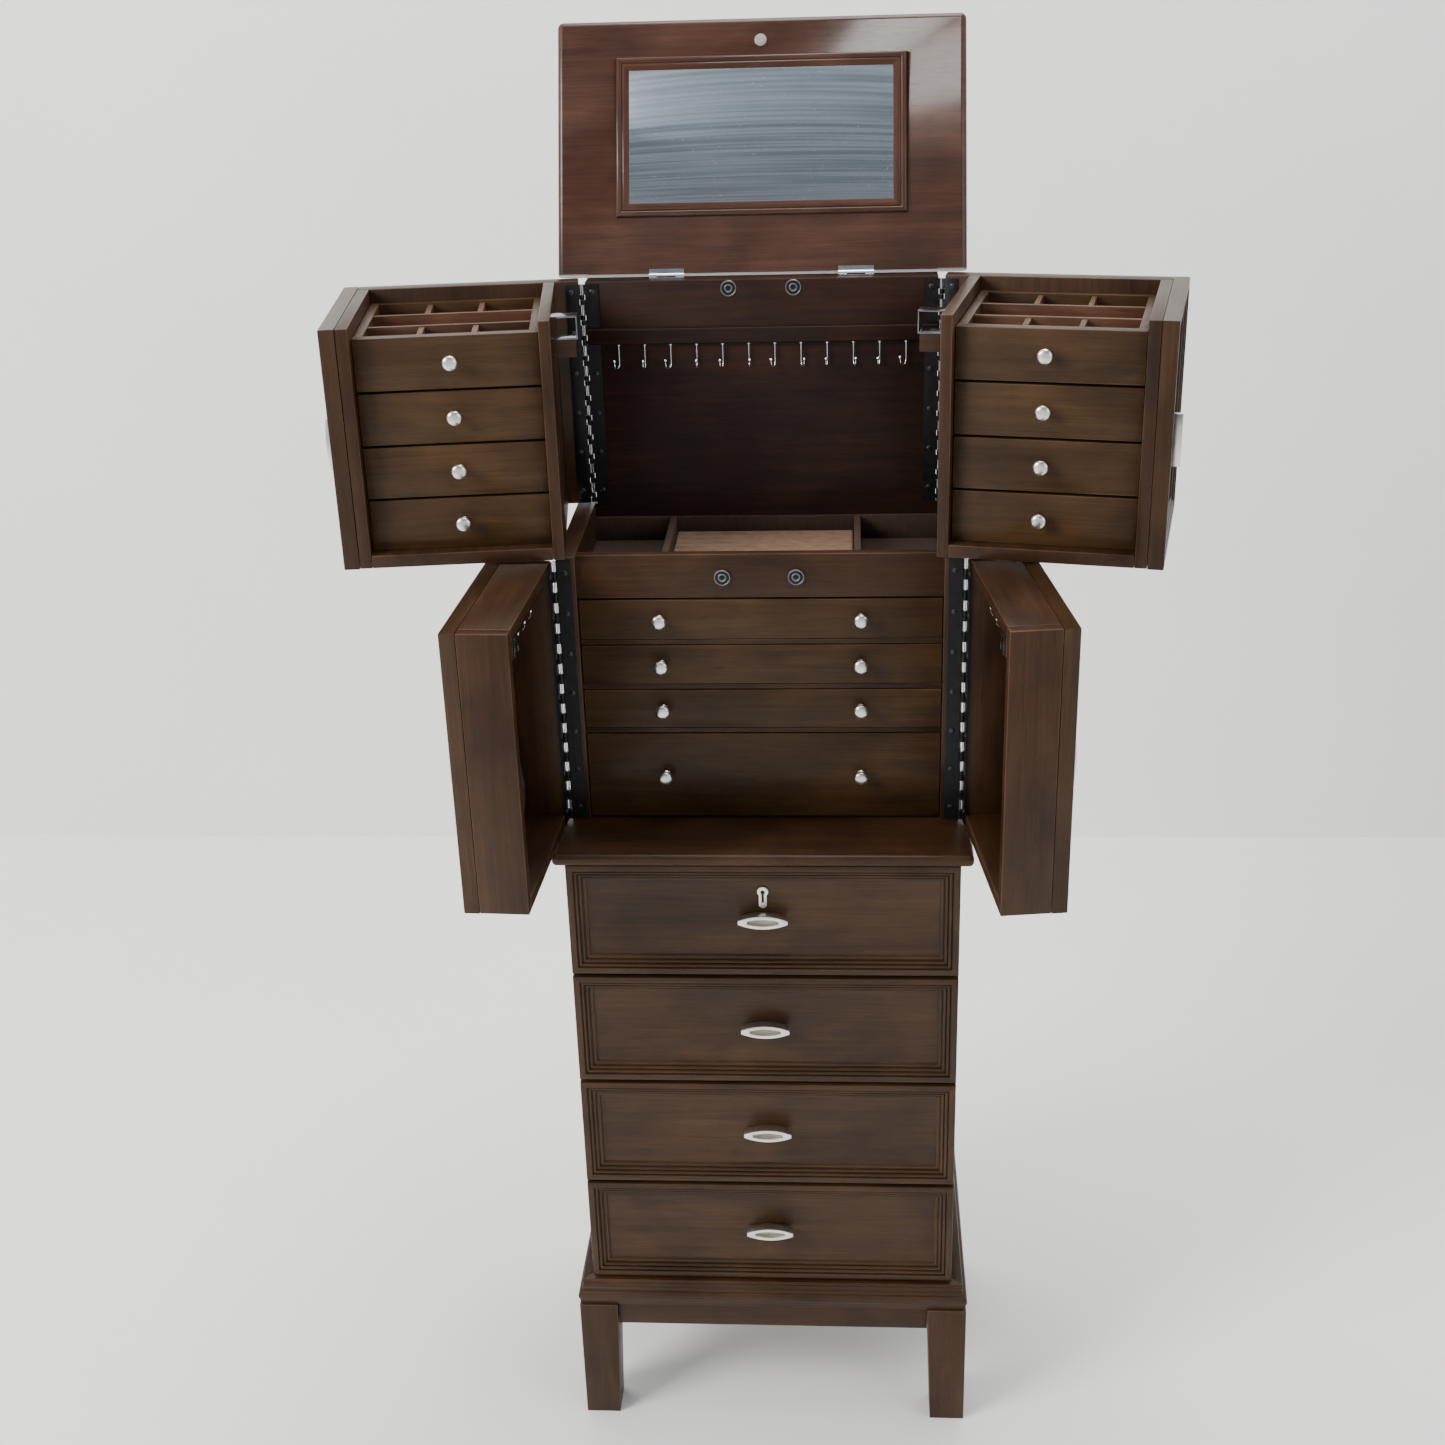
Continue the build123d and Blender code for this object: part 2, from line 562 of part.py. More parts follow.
# ---------------------------------------------------------------- lower doors
for side, name in ((-1, "left"), (1, "right")):
    # a lower door's leaf runs towards the middle when shut, a quarter turn from an upper box's wall
    angle = radians(lower_angles[side])
    u_dir = Vector(-side * cos(angle), -sin(angle), 0)
    door = Plane(origin=(side * lower_pin[0], lower_pin[1], 0), x_dir=u_dir, z_dir=(0, 0, side))
    door_z = (lower_low, lower_high)
    with BuildPart() as lower_case_part:
        for u in ((1.5, 1.5 + lower_stile), (lower_reach - lower_stile, lower_reach)):
            board(door, u, lower_depth, door_z)
        between = (1.7 + lower_stile, lower_reach - lower_stile - joint_gap)
        for z in ((lower_low, lower_low + lower_stile), (lower_high - lower_stile, lower_high)):
            board(door, between, lower_depth, z)
        strike_u = (lower_pin[0] - 44.6, lower_pin[0] - 24.6)
        block_z = (931.0, lower_high - lower_stile - joint_gap)
        board(door, strike_u, (4.5, 24), block_z)
        board(door, (20, lower_reach - 20), (lower_depth[1] - 8, lower_depth[1]), (912, 926))
    save(lower_case_part, f"lower_{name}_case")

    with BuildPart() as lower_face:
        face_v = (lower_depth[1] + joint_gap, lower_depth[1] + joint_gap + face_board)
        board(door, (1.5, lower_reach), face_v, door_z)
        middle = ((1.5 + lower_reach) / 2, (lower_low + lower_high) / 2)
        outside = seat(door, middle[0], face_v[1], middle[1], (0, 1, 0), (1, 0, 0))
        framed_recess(outside, lower_reach - 1.5, lower_high - lower_low)
    save(lower_face, f"lower_{name}_face")

    with BuildPart() as lower_pull:
        pull(seat(door, lower_reach - 30, face_v[1] - 7.5, middle[1], (0, 1, 0), (0, 0, 1)))
    save(lower_pull, f"lower_{name}_pull")

    with BuildPart() as lower_hardware:
        hinge_leaf(door, lower_leaf_z, (knuckle - leaf_thick, knuckle), 1, False)
        board(door, (strike_u[0] + 2, strike_u[1] - 2), (3.0, 4.3), (933, 951))
    save(lower_hardware, f"lower_{name}_hinge_and_strike")

    with BuildPart() as door_hooks:
        for i in range(6):
            side_hook(seat(door, 24 + i * 29, lower_depth[1] - 8.9, 919, (1, 0, 0), (0, -1, 0)))
    save(door_hooks, f"lower_{name}_hooks")

    with BuildPart() as door_pocket:
        pocket_u = (lower_stile + 4, lower_reach - lower_stile - 2.5)
        wall = seat(door, pocket_u[0], 0, 0, (1, 0, 0), (0, 1, 0))
        up = 1 if (wall.y_dir.Z > 0) else -1
        with BuildSketch(wall) as pouch:
            with BuildLine():
                Polyline((47.9, 706 * up), (32, 706 * up))
                Spline((32, 706 * up), (27, 732 * up), (34, 778 * up))
                Polyline((34, 778 * up), (47.9, 778 * up), (47.9, 706 * up))
            make_face()
        extrude(pouch.sketch, amount=pocket_u[1] - pocket_u[0])
    save(door_pocket, f"lower_{name}_pocket")

# ---------------------------------------------------------------- row drawers of the middle case
high = row_top
for i, tall in enumerate(row_heights):
    z = (high - tall, high)
    with BuildPart() as row_drawer:
        board(ground, (-row_half, row_half), (row_face_y, row_face_y + row_thick), z)
        box_top = z[1] - 4 if tall < 60 else z[0] + 78
        drawer_box(
            ground,
            (-row_half + 0.3, row_half - 0.3),
            (row_face_y + row_thick, panel_y - 8),
            (z[0], box_top),
            7.0,
            row_face_y + row_thick,
        )
        for sx in (-1, 1):
            centre = (sx * 95.5, row_face_y - joint_gap, (z[0] + z[1]) / 2 + 1)
            knob(Plane(origin=centre, x_dir=(1, 0, 0), z_dir=(0, -1, 0)))
    save(row_drawer, f"middle_drawer_{i + 1}")
    high = z[0] - row_gap

# ---------------------------------------------------------------- lid
lean = radians(lid_lean)
# the lid's plane: local X to the right, local Y up along the lid, Z towards the front of the armoire
lid_up = Vector(0, sin(lean), cos(lean))
lid_out = Vector(0, -cos(lean), sin(lean))
pin_point = Vector(0, lid_pin[0], lid_pin[1])
lid_face = Plane(origin=pin_point + lid_up * 2.5 + lid_out * -0.3, x_dir=(1, 0, 0), z_dir=lid_out)

with BuildPart() as lid_panel:
    with BuildSketch(lid_face.offset(-lid_thick)) as outline:
        with Locations((0, lid_length / 2)):
            Rectangle(2 * lid_half, lid_length)
    extrude(outline.sketch, amount=lid_thick)
    free_edges = lid_panel.edges().filter_by(lambda e: (e @ 0.5 - lid_face.origin).dot(lid_up) > 1)
    fillet(free_edges, 6)
save(lid_panel, "lid_panel")

mirror_mid = (mirror_low + mirror_high) / 2
frame_size = (2 * mirror_half, mirror_high - mirror_low)
with BuildPart() as mirror_surround:
    with BuildSketch(lid_face) as surround:
        with Locations((0, mirror_mid)):
            Rectangle(*frame_size)
            Rectangle(frame_size[0] - 2 * mirror_frame, frame_size[1] - 2 * mirror_frame, mode=Mode.SUBTRACT)
    extrude(surround.sketch, amount=4.5)
    with BuildSketch(lid_face) as rebate:
        with Locations((0, mirror_mid)):
            Rectangle(frame_size[0] - 12, frame_size[1] - 12)
    extrude(rebate.sketch, amount=2.4, mode=Mode.SUBTRACT)
    fillet(mirror_surround.faces().sort_by(Axis(lid_face.origin, lid_out))[-1].edges(), 1.2)
save(mirror_surround, "mirror_frame")

with BuildPart() as mirror_glass:
    with BuildSketch(lid_face) as glass:
        with Locations((0, mirror_mid)):
            Rectangle(frame_size[0] - 12.4, frame_size[1] - 12.4)
    extrude(glass.sketch, amount=2.2)
save(mirror_glass, "mirror_glass")

with BuildPart() as lid_bumper:
    with BuildSketch(lid_face) as pad:
        with Locations((0, 223)):
            Circle(6)
    extrude(pad.sketch, amount=1.2)
save(lid_bumper, "lid_bumper")


def butt_leaf(plane, carries_pin):
    """One leaf of the two butt hinges of the lid; the middle knuckle belongs to the lid's leaf."""
    for middle in (-lid_hinge_x, lid_hinge_x):
        with BuildSketch(plane) as plate:
            with Locations((middle, 4.4)):
                Rectangle(34, 3.6)
        extrude(plate.sketch, amount=0.9)
        spans = ((-17, -8.6), (8.6, 17)) if carries_pin else ((-8.2, 8.2),)
        for a, b in spans:
            start = Plane(origin=(middle + a, lid_pin[0], lid_pin[1]), z_dir=(1, 0, 0))
            with BuildSketch(start) as barrel:
                Circle(lid_knuckle)
            extrude(barrel.sketch, amount=b - a)
            with BuildSketch(plane) as neck:
                with Locations((middle + (a + b) / 2, 1.8)):
                    Rectangle(b - a, 2)
            extrude(neck.sketch, amount=0.9)
        start = Plane(origin=(middle - 17, lid_pin[0], lid_pin[1]), z_dir=(1, 0, 0))
        with BuildSketch(start) as core:
            Circle(lid_pin_radius if carries_pin else lid_pin_radius + pin_play)
        extrude(core.sketch, amount=34, mode=Mode.ADD if carries_pin else Mode.SUBTRACT)


with BuildPart() as lid_fixed_leaves:
    butt_leaf(Plane(origin=(0, lid_pin[0], panel_top), x_dir=(-1, 0, 0), z_dir=(0, 0, 1)), True)
save(lid_fixed_leaves, "lid_hinge_fixed_leaves")

with BuildPart() as lid_leaves:
    butt_leaf(Plane(origin=pin_point + lid_out * -0.3, x_dir=(1, 0, 0), z_dir=lid_out), False)
save(lid_leaves, "lid_hinge_moving_leaves")
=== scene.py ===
import json
import random
from math import atan2, cos, pi, radians, sin

import bmesh
import bpy
from mathutils import Matrix, Vector


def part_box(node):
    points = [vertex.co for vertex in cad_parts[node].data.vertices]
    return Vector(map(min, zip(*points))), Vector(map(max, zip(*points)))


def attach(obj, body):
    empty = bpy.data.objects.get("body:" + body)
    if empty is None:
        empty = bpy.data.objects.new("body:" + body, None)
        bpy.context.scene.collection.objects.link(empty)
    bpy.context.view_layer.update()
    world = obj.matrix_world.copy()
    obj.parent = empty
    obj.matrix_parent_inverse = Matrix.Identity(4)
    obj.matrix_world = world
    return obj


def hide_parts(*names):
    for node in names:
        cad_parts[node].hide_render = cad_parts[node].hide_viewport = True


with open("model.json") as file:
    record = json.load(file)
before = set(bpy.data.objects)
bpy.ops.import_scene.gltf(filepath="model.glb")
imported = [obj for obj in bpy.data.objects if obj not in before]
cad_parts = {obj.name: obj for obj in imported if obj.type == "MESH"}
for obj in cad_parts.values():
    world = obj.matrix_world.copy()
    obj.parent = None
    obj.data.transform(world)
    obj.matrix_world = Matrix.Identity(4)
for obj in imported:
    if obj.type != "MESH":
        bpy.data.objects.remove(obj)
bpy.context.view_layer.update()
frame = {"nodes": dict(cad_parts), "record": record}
NODES = frame["nodes"]
BODY_OF = {node: body for body, nodes in frame["record"]["behaviour"]["bodies"].items() for node in nodes}
MM = 0.001

# ------------------------------------------------------------------ camera, floor and light
FACE_Y = -0.120
EYE = Vector((0.08541, -1.62124 + FACE_Y, 1.55640))
YAW, PITCH, ROLL = radians(-4.18), radians(24.12), radians(-1.84)


def set_camera():
    """Stand the camera at eye level in front of the armoire."""
    ahead = Vector((sin(YAW) * cos(PITCH), cos(YAW) * cos(PITCH), -sin(PITCH)))
    level = Vector((cos(YAW), -sin(YAW), 0))
    above = level.cross(ahead)
    right = level * cos(ROLL) + above * sin(ROLL)
    up = above * cos(ROLL) - level * sin(ROLL)
    camera = bpy.data.objects.new("camera", bpy.data.cameras.new("camera"))
    bpy.context.scene.collection.objects.link(camera)
    camera.data.sensor_width = 36
    camera.data.lens = 36 * 1923.94 / 1445
    camera.data.clip_end = 50
    turn = Matrix((right, up, -ahead)).transposed().to_4x4()
    camera.matrix_world = Matrix.Translation(EYE) @ turn
    bpy.context.scene.camera = camera


def soft_light(name, place, target, size, power, tint=(1, 1, 1)):
    """Square area light aimed at a point."""
    lamp = bpy.data.lights.new(name, "AREA")
    lamp.shape = "SQUARE"
    lamp.size = size
    lamp.energy = power
    lamp.color = tint
    holder = bpy.data.objects.new(name, lamp)
    bpy.context.scene.collection.objects.link(holder)
    aim = (Vector(target) - Vector(place)).to_track_quat("-Z", "Y").to_matrix().to_4x4()
    holder.matrix_world = Matrix.Translation(Vector(place)) @ aim


# ------------------------------------------------------------------ shader helpers
class Value:
    """A shader socket that takes part in arithmetic."""

    def __init__(self, finish, socket):
        self.finish = finish
        self.socket = socket

    def reckon(self, operation, first, second):
        return self.finish.node("ShaderNodeMath", {"operation": operation}, {0: first, 1: second})[0]

    def __add__(self, other):
        return self.reckon("ADD", self, other)

    def __sub__(self, other):
        return self.reckon("SUBTRACT", self, other)

    def __mul__(self, other):
        return self.reckon("MULTIPLY", self, other)

    def __radd__(self, other):
        return self.reckon("ADD", other, self)

    def __rsub__(self, other):
        return self.reckon("SUBTRACT", other, self)

    def __rmul__(self, other):
        return self.reckon("MULTIPLY", other, self)


class Finish:
    """A material under construction, with its surface shader ready."""

    def __init__(self, name, **constants):
        self.material = bpy.data.materials.new(name)
        self.material.use_nodes = True
        self.tree = self.material.node_tree
        self.tree.nodes.clear()
        output = self.tree.nodes.new("ShaderNodeOutputMaterial")
        self.surface = self.tree.nodes.new("ShaderNodeBsdfPrincipled")
        self.tree.links.new(self.surface.outputs[0], output.inputs["Surface"])
        for label, value in constants.items():
            self.surface.inputs[label.replace("_", " ")].default_value = value

    def node(self, kind, settings=None, sockets=None):
        """Add a node, set its settings first and then its sockets; returns its outputs."""
        made = self.tree.nodes.new(kind)
        for key, value in (settings or {}).items():
            if key == "stops":
                ramp = made.color_ramp
                while len(ramp.elements) < len(value):
                    ramp.elements.new(0.5)
                for element, (place, colour) in zip(ramp.elements, value):
                    element.position = place
                    element.color = (*colour, 1)
            else:
                setattr(made, key, value)
        for key, value in (sockets or {}).items():
            if isinstance(value, Value):
                self.tree.links.new(value.socket, made.inputs[key])
            else:
                made.inputs[key].default_value = value
        return [Value(self, socket) for socket in made.outputs]

    def place(self, scale, source=None, offset=(0, 0, 0)):
        """Coordinates in metres, stretched; from Object coordinates or a named attribute."""
        if source:
            origin = self.node("ShaderNodeAttribute", {"attribute_name": source})[1]
        else:
            origin = self.node("ShaderNodeTexCoord")[3]
        sockets = {"Vector": origin, "Scale": scale, "Location": offset}
        return self.node("ShaderNodeMapping", None, sockets)[0]

    def noise(self, vector, detail=3.0, roughness=0.5, distortion=0.0):
        sockets = {"Vector": vector, "Scale": 1.0, "Detail": detail, "Roughness": roughness}
        sockets["Distortion"] = distortion
        return self.node("ShaderNodeTexNoise", None, sockets)[0]

    def ramp(self, factor, stops):
        return self.node("ShaderNodeValToRGB", {"stops": stops}, {0: factor})[0]

    def blend(self, factor, first, second, way="MIX"):
        """Mix two colours; a plain tuple is a colour."""
        settings = {"data_type": "RGBA", "blend_type": way}
        pads = [c if isinstance(c, Value) else (*c, 1) for c in (first, second)]
        return self.node("ShaderNodeMix", settings, {0: factor, 6: pads[0], 7: pads[1]})[2]

    def relief(self, height, strength, distance):
        sockets = {"Height": height, "Strength": strength, "Distance": distance}
        self.wire(self.node("ShaderNodeBump", None, sockets)[0], "Normal")

    def wire(self, value, socket):
        self.tree.links.new(value.socket, self.surface.inputs[socket])


# ------------------------------------------------------------------ finishes
def stained_wood(name, dark, light, warm, rough, wear, coat=0.06):
    """Espresso-stained hardwood under satin lacquer; the grain runs along each board."""
    f = Finish(name, Coat_Weight=coat, Coat_Roughness=0.16, Specular_IOR_Level=0.2)
    figure = f.noise(f.place((7, 120, 120), "grain"), 5.0, 0.62, 0.7)
    streak = f.noise(f.place((16, 620, 620), "grain"), 3.0, 0.6)
    stain = f.noise(f.place((9, 14, 14), "grain"), 3.0, 0.55, 0.4)
    pore_field = f.noise(f.place((70, 2300, 2300), "grain"), 2.0, 0.5)
    pores = f.node("ShaderNodeMapRange", None, {0: pore_field, 1: 0.60, 2: 0.70, 3: 0.0, 4: 1.0})[0]
    tone = f.ramp(figure * 0.45 + streak * 0.25 + stain * 0.3, [(0.36, dark), (0.5, light), (0.64, warm)])
    cloudy = f.ramp(stain, [(0.32, (0.78, 0.76, 0.74)), (0.68, (1.18, 1.16, 1.14))])
    toned = f.blend(1.0, tone, cloudy, "MULTIPLY")
    deep = [c * 0.45 for c in dark]
    grained = f.blend(pores * 0.55, toned, deep)
    edge = f.node("ShaderNodeAttribute", {"attribute_name": "eased"})[2]
    patchy = f.node("ShaderNodeMapRange", None, {0: stain, 1: 0.35, 2: 0.62, 3: 0.25, 4: 1.0})[0]
    bare = [min(1.0, c * 2.2 + 0.03) for c in warm]
    f.wire(f.blend(edge * patchy * wear, grained, bare), "Base Color")
    f.wire(rough + stain * 0.14 + pores * 0.12 - edge * 0.08, "Roughness")
    f.relief(streak * 0.35 - pores, 0.35, 0.00012)
    return f.material


def cast_metal(name, colour, rough, brushed):
    """Plated or polished metal with faint handling marks."""
    f = Finish(name, Metallic=1.0)
    haze = f.noise(f.place((90, 90, 90)), 4.0, 0.6)
    lines = f.noise(f.place((2600, 160, 2600)), 2.0, 0.5)
    dull = [c * 0.86 for c in colour]
    f.wire(f.ramp(haze, [(0.3, dull), (0.6, colour)]), "Base Color")
    f.wire(rough + haze * 0.1 + lines * brushed, "Roughness")
    f.relief(lines * brushed + haze * 0.2, 0.12, 0.00005)
    return f.material


def black_enamel():
    """Black lacquered steel with a faint mottle in its colour and gloss."""
    f = Finish("hinge_black", Metallic=0.0, Specular_IOR_Level=0.28)
    haze = f.noise(f.place((160, 160, 160)), 4.0, 0.6)
    f.wire(f.ramp(haze, [(0.35, (0.0025, 0.0025, 0.003)), (0.7, (0.008, 0.008, 0.009))]), "Base Color")
    f.wire(0.3 + haze * 0.25, "Roughness")
    f.relief(haze, 0.2, 0.00008)
    return f.material


def napped_cloth(name, dark, light, thread, lay):
    """Brushed felt or plain cloth, with fibres or a weave that follow the piece."""
    f = Finish(name, Sheen_Weight=0.35, Sheen_Roughness=0.5)
    f.surface.inputs["Sheen Tint"].default_value = (*light, 1)
    fuzz = f.noise(f.place((thread, thread, thread)), 4.0, 0.7)
    brushed = f.noise(f.place(lay), 3.0, 0.5)
    mix = fuzz * 0.65 + brushed * 0.35
    f.wire(f.ramp(mix, [(0.33, dark), (0.66, light)]), "Base Color")
    f.wire(0.82 + fuzz * 0.15, "Roughness")
    f.relief(mix, 0.6, 0.0004)
    return f.material


def woven_cloth(name, dark, light, pitch):
    """Plain weave with raised warp and weft."""
    f = Finish(name, Specular_IOR_Level=0.2)
    waves = {"wave_type": "BANDS", "bands_direction": "X", "wave_profile": "SIN"}
    scale = 1.0 / (6.283 * pitch) * 0.5
    warp = f.node("ShaderNodeTexWave", waves, {"Vector": f.place((1, 1, 1)), "Scale": scale})[1]
    up = dict(waves, bands_direction="Z")
    weft = f.node("ShaderNodeTexWave", up, {"Vector": f.place((1, 1, 1)), "Scale": scale})[1]
    slub = f.noise(f.place((60, 60, 700)), 3.0, 0.6)
    cross = warp * 0.5 + weft * 0.5
    f.wire(f.ramp(cross * 0.6 + slub * 0.4, [(0.3, dark), (0.7, light)]), "Base Color")
    f.wire(0.8 + slub * 0.15, "Roughness")
    f.relief(cross + slub * 0.4, 0.5, 0.0003)
    return f.material


def silvered_glass():
    """Mirror with a trace of dust."""
    f = Finish("mirror_silver", Metallic=1.0)
    dust = f.noise(f.place((14, 14, 14)), 5.0, 0.6)
    specks = f.noise(f.place((900, 900, 900)), 1.0, 0.5)
    f.wire(f.ramp(dust, [(0.3, (0.80, 0.83, 0.83)), (0.7, (0.88, 0.90, 0.90))]), "Base Color")
    spots = f.node("ShaderNodeMapRange", None, {0: specks, 1: 0.68, 2: 0.78, 3: 0.0, 4: 0.25})[0]
    f.wire(0.015 + dust * 0.03 + spots, "Roughness")
    return f.material


def soft_rubber():
    f = Finish("bumper_rubber")
    haze = f.noise(f.place((500, 500, 500)), 3.0, 0.6)
    f.wire(f.ramp(haze, [(0.3, (0.2, 0.19, 0.17)), (0.7, (0.34, 0.32, 0.29))]), "Base Color")
    f.wire(0.45 + haze * 0.2, "Roughness")
    f.relief(haze, 0.2, 0.0001)
    return f.material


def pale_floor():
    f = Finish("studio_floor")
    cloud = f.noise(f.place((1.5, 1.5, 1.5)), 3.0, 0.5)
    f.wire(f.ramp(cloud, [(0.3, (0.90, 0.895, 0.865)), (0.7, (0.94, 0.935, 0.905))]), "Base Color")
    f.wire(0.55 + cloud * 0.1, "Roughness")
    return f.material


CASE = stained_wood(
    "espresso_case",
    dark=(0.022, 0.0090, 0.0036),
    light=(0.036, 0.0155, 0.0062),
    warm=(0.050, 0.0225, 0.0092),
    rough=0.36,
    wear=0.45,
)
FRONT = stained_wood(
    "espresso_drawer_fronts",
    dark=(0.030, 0.0140, 0.0048),
    light=(0.048, 0.0232, 0.0080),
    warm=(0.066, 0.0335, 0.0118),
    rough=0.38,
    wear=0.45,
)
MOULDED = stained_wood(
    "espresso_mouldings",
    dark=(0.022, 0.0095, 0.0036),
    light=(0.039, 0.0178, 0.0068),
    warm=(0.055, 0.0265, 0.0102),
    rough=0.3,
    wear=0.7,
    coat=0.08,
)
INSIDE = stained_wood(
    "russet_interior",
    dark=(0.0095, 0.0026, 0.0010),
    light=(0.0190, 0.0056, 0.0022),
    warm=(0.031, 0.0098, 0.0038),
    rough=0.45,
    wear=0.2,
)
DIVIDER = stained_wood(
    "russet_dividers",
    dark=(0.055, 0.022, 0.011),
    light=(0.09, 0.038, 0.02),
    warm=(0.13, 0.06, 0.033),
    rough=0.5,
    wear=0.4,
)
LID = stained_wood(
    "lid_lacquer",
    dark=(0.034, 0.0130, 0.0072),
    light=(0.054, 0.0215, 0.0122),
    warm=(0.074, 0.0310, 0.0180),
    rough=0.26,
    wear=0.5,
    coat=0.35,
)
NICKEL = cast_metal("satin_nickel", (0.78, 0.76, 0.70), 0.2, 0.12)
CHROME = cast_metal("bright_chrome", (0.86, 0.87, 0.88), 0.06, 0.03)
STEEL = cast_metal("grey_magnet", (0.20, 0.20, 0.205), 0.34, 0.1)
SCREW = cast_metal("blackened_screw", (0.075, 0.075, 0.08), 0.34, 0.1)
STRIKE = cast_metal("dark_chrome", (0.20, 0.21, 0.24), 0.1, 0.05)
ENAMEL = black_enamel()
FELT = napped_cloth("tray_felt", (0.022, 0.0095, 0.0055), (0.052, 0.025, 0.0145), 1500, (220, 90, 90))
ROLLS = napped_cloth("ring_roll_suede", (0.10, 0.055, 0.032), (0.24, 0.145, 0.09), 1300, (90, 300, 300))
POUCH = woven_cloth("pocket_cloth", (0.012, 0.010, 0.009), (0.05, 0.042, 0.037), 0.0009)
MIRROR = silvered_glass()
RUBBER = soft_rubber()


# ------------------------------------------------------------------ mesh helpers
def merged(node):
    """Copy of a CAD node's mesh with doubled points merged and flat faces joined."""
    bm = bmesh.new()
    bm.from_mesh(NODES[node].data)
    bmesh.ops.remove_doubles(bm, verts=bm.verts, dist=5e-6)
    bmesh.ops.dissolve_limit(bm, angle_limit=radians(0.6), verts=bm.verts, edges=bm.edges)
    return bm


def islands(bm):
    """The separate solids of a mesh, as lists of points."""
    left = set(bm.verts)
    found = []
    while left:
        seed = left.pop()
        group, edge = [seed], [seed]
        while edge:
            for link in edge.pop().link_edges:
                for point in link.verts:
                    if point in left:
                        left.remove(point)
                        group.append(point)
                        edge.append(point)
        found.append(group)
    return found


def lay_grain(bm, axes=None):
    """Give every board its own grain coordinates: along, across and through it. axes(face) may give
    the run and the outward side of a face's board where one solid stands for several boards."""
    layer = bm.loops.layers.float_vector.get("grain") or bm.loops.layers.float_vector.new("grain")
    for number, group in enumerate(islands(bm)):
        faces = {f for v in group for f in v.link_faces}
        if not faces:
            continue
        edges = {e for v in group for e in v.link_edges}
        longest = max(edges, key=lambda e: e.calc_length())
        run = (longest.verts[1].co - longest.verts[0].co).normalized()
        flat = [f for f in faces if abs(f.normal.dot(run)) < 0.3] or list(faces)
        through = max(flat, key=lambda f: f.calc_area()).normal.copy()
        key = random.Random(round(sum(v.co.x * 7 + v.co.y * 3 + v.co.z for v in group) * 10) + number)
        shifts = [Vector([key.uniform(0, 9) for axis in range(3)]) for board in range(5)]
        for face in faces:
            line, side, board = axes(face) if axes else (run, through, 0)
            side = (side - line * side.dot(line)).normalized()
            across = side.cross(line)
            for loop in face.loops:
                spot = loop.vert.co
                where = Vector((spot.dot(line), spot.dot(across), spot.dot(side)))
                loop[layer] = where + shifts[board]


def ease_edges(bm, width, angle=30, segments=2):
    """Round over the sharp outer edges and mark the rounding for wear."""
    worn = bm.faces.layers.float.get("eased") or bm.faces.layers.float.new("eased")
    sharp = [e for e in bm.edges if e.is_manifold and e.calc_face_angle(0) > radians(angle)]
    rounding = {"offset": width, "segments": segments, "profile": 0.5, "clamp_overlap": True}
    made = bmesh.ops.bevel(bm, geom=sharp, affect="EDGES", **rounding)
    for face in made["faces"]:
        if face.is_valid:
            face[worn] = 1.0


def shade(bm, angle=35):
    """Smooth faces, split at sharp edges."""
    for face in bm.faces:
        face.smooth = True
    for edge in bm.edges:
        edge.smooth = not (edge.is_manifold and edge.calc_face_angle(0) > radians(angle))


def piece(name, bm, material, body, stands_for=(), angle=35):
    """Turn a mesh into a finished piece of the armoire."""
    shade(bm, angle)
    mesh = bpy.data.meshes.new(name)
    bm.to_mesh(mesh)
    bm.free()
    made = bpy.data.objects.new(name, mesh)
    bpy.context.scene.collection.objects.link(made)
    for m in material if isinstance(material, (list, tuple)) else [material]:
        mesh.materials.append(m)
    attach(made, body)
    if stands_for:
        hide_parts(*stands_for)
    return made


def boards(node, material, width=0.7, choose=None, extra=None):
    """Wooden boards of a CAD node with eased edges and their own grain. choose(board) gives the
    material index of one board, or None to leave it out."""
    bm = merged(node)
    worn = bm.faces.layers.float.new("eased")
    if choose:
        gone = []
        for group in islands(bm):
            index = choose(group)
            if index is None:
                gone += group
                continue
            for face in {f for v in group for f in v.link_faces}:
                face.material_index = index
        bmesh.ops.delete(bm, geom=gone, context="VERTS")
    ease_edges(bm, width * MM)
    if extra:
        extra(bm)
    lay_grain(bm)
    return piece("wood_" + node, bm, material, BODY_OF[node], [node])


def metalwork(node, material, angle=32, width=0.0):
    """Metal piece of a CAD node, smooth where it is round."""
    bm = bmesh.new()
    bm.from_mesh(NODES[node].data)
    bmesh.ops.remove_doubles(bm, verts=bm.verts, dist=5e-6)
    if width:
        bmesh.ops.dissolve_limit(bm, angle_limit=radians(0.6), verts=bm.verts, edges=bm.edges)
        ease_edges(bm, width * MM, 50, 2)
    return piece("metal_" + node, bm, material, BODY_OF[node], [node], angle)


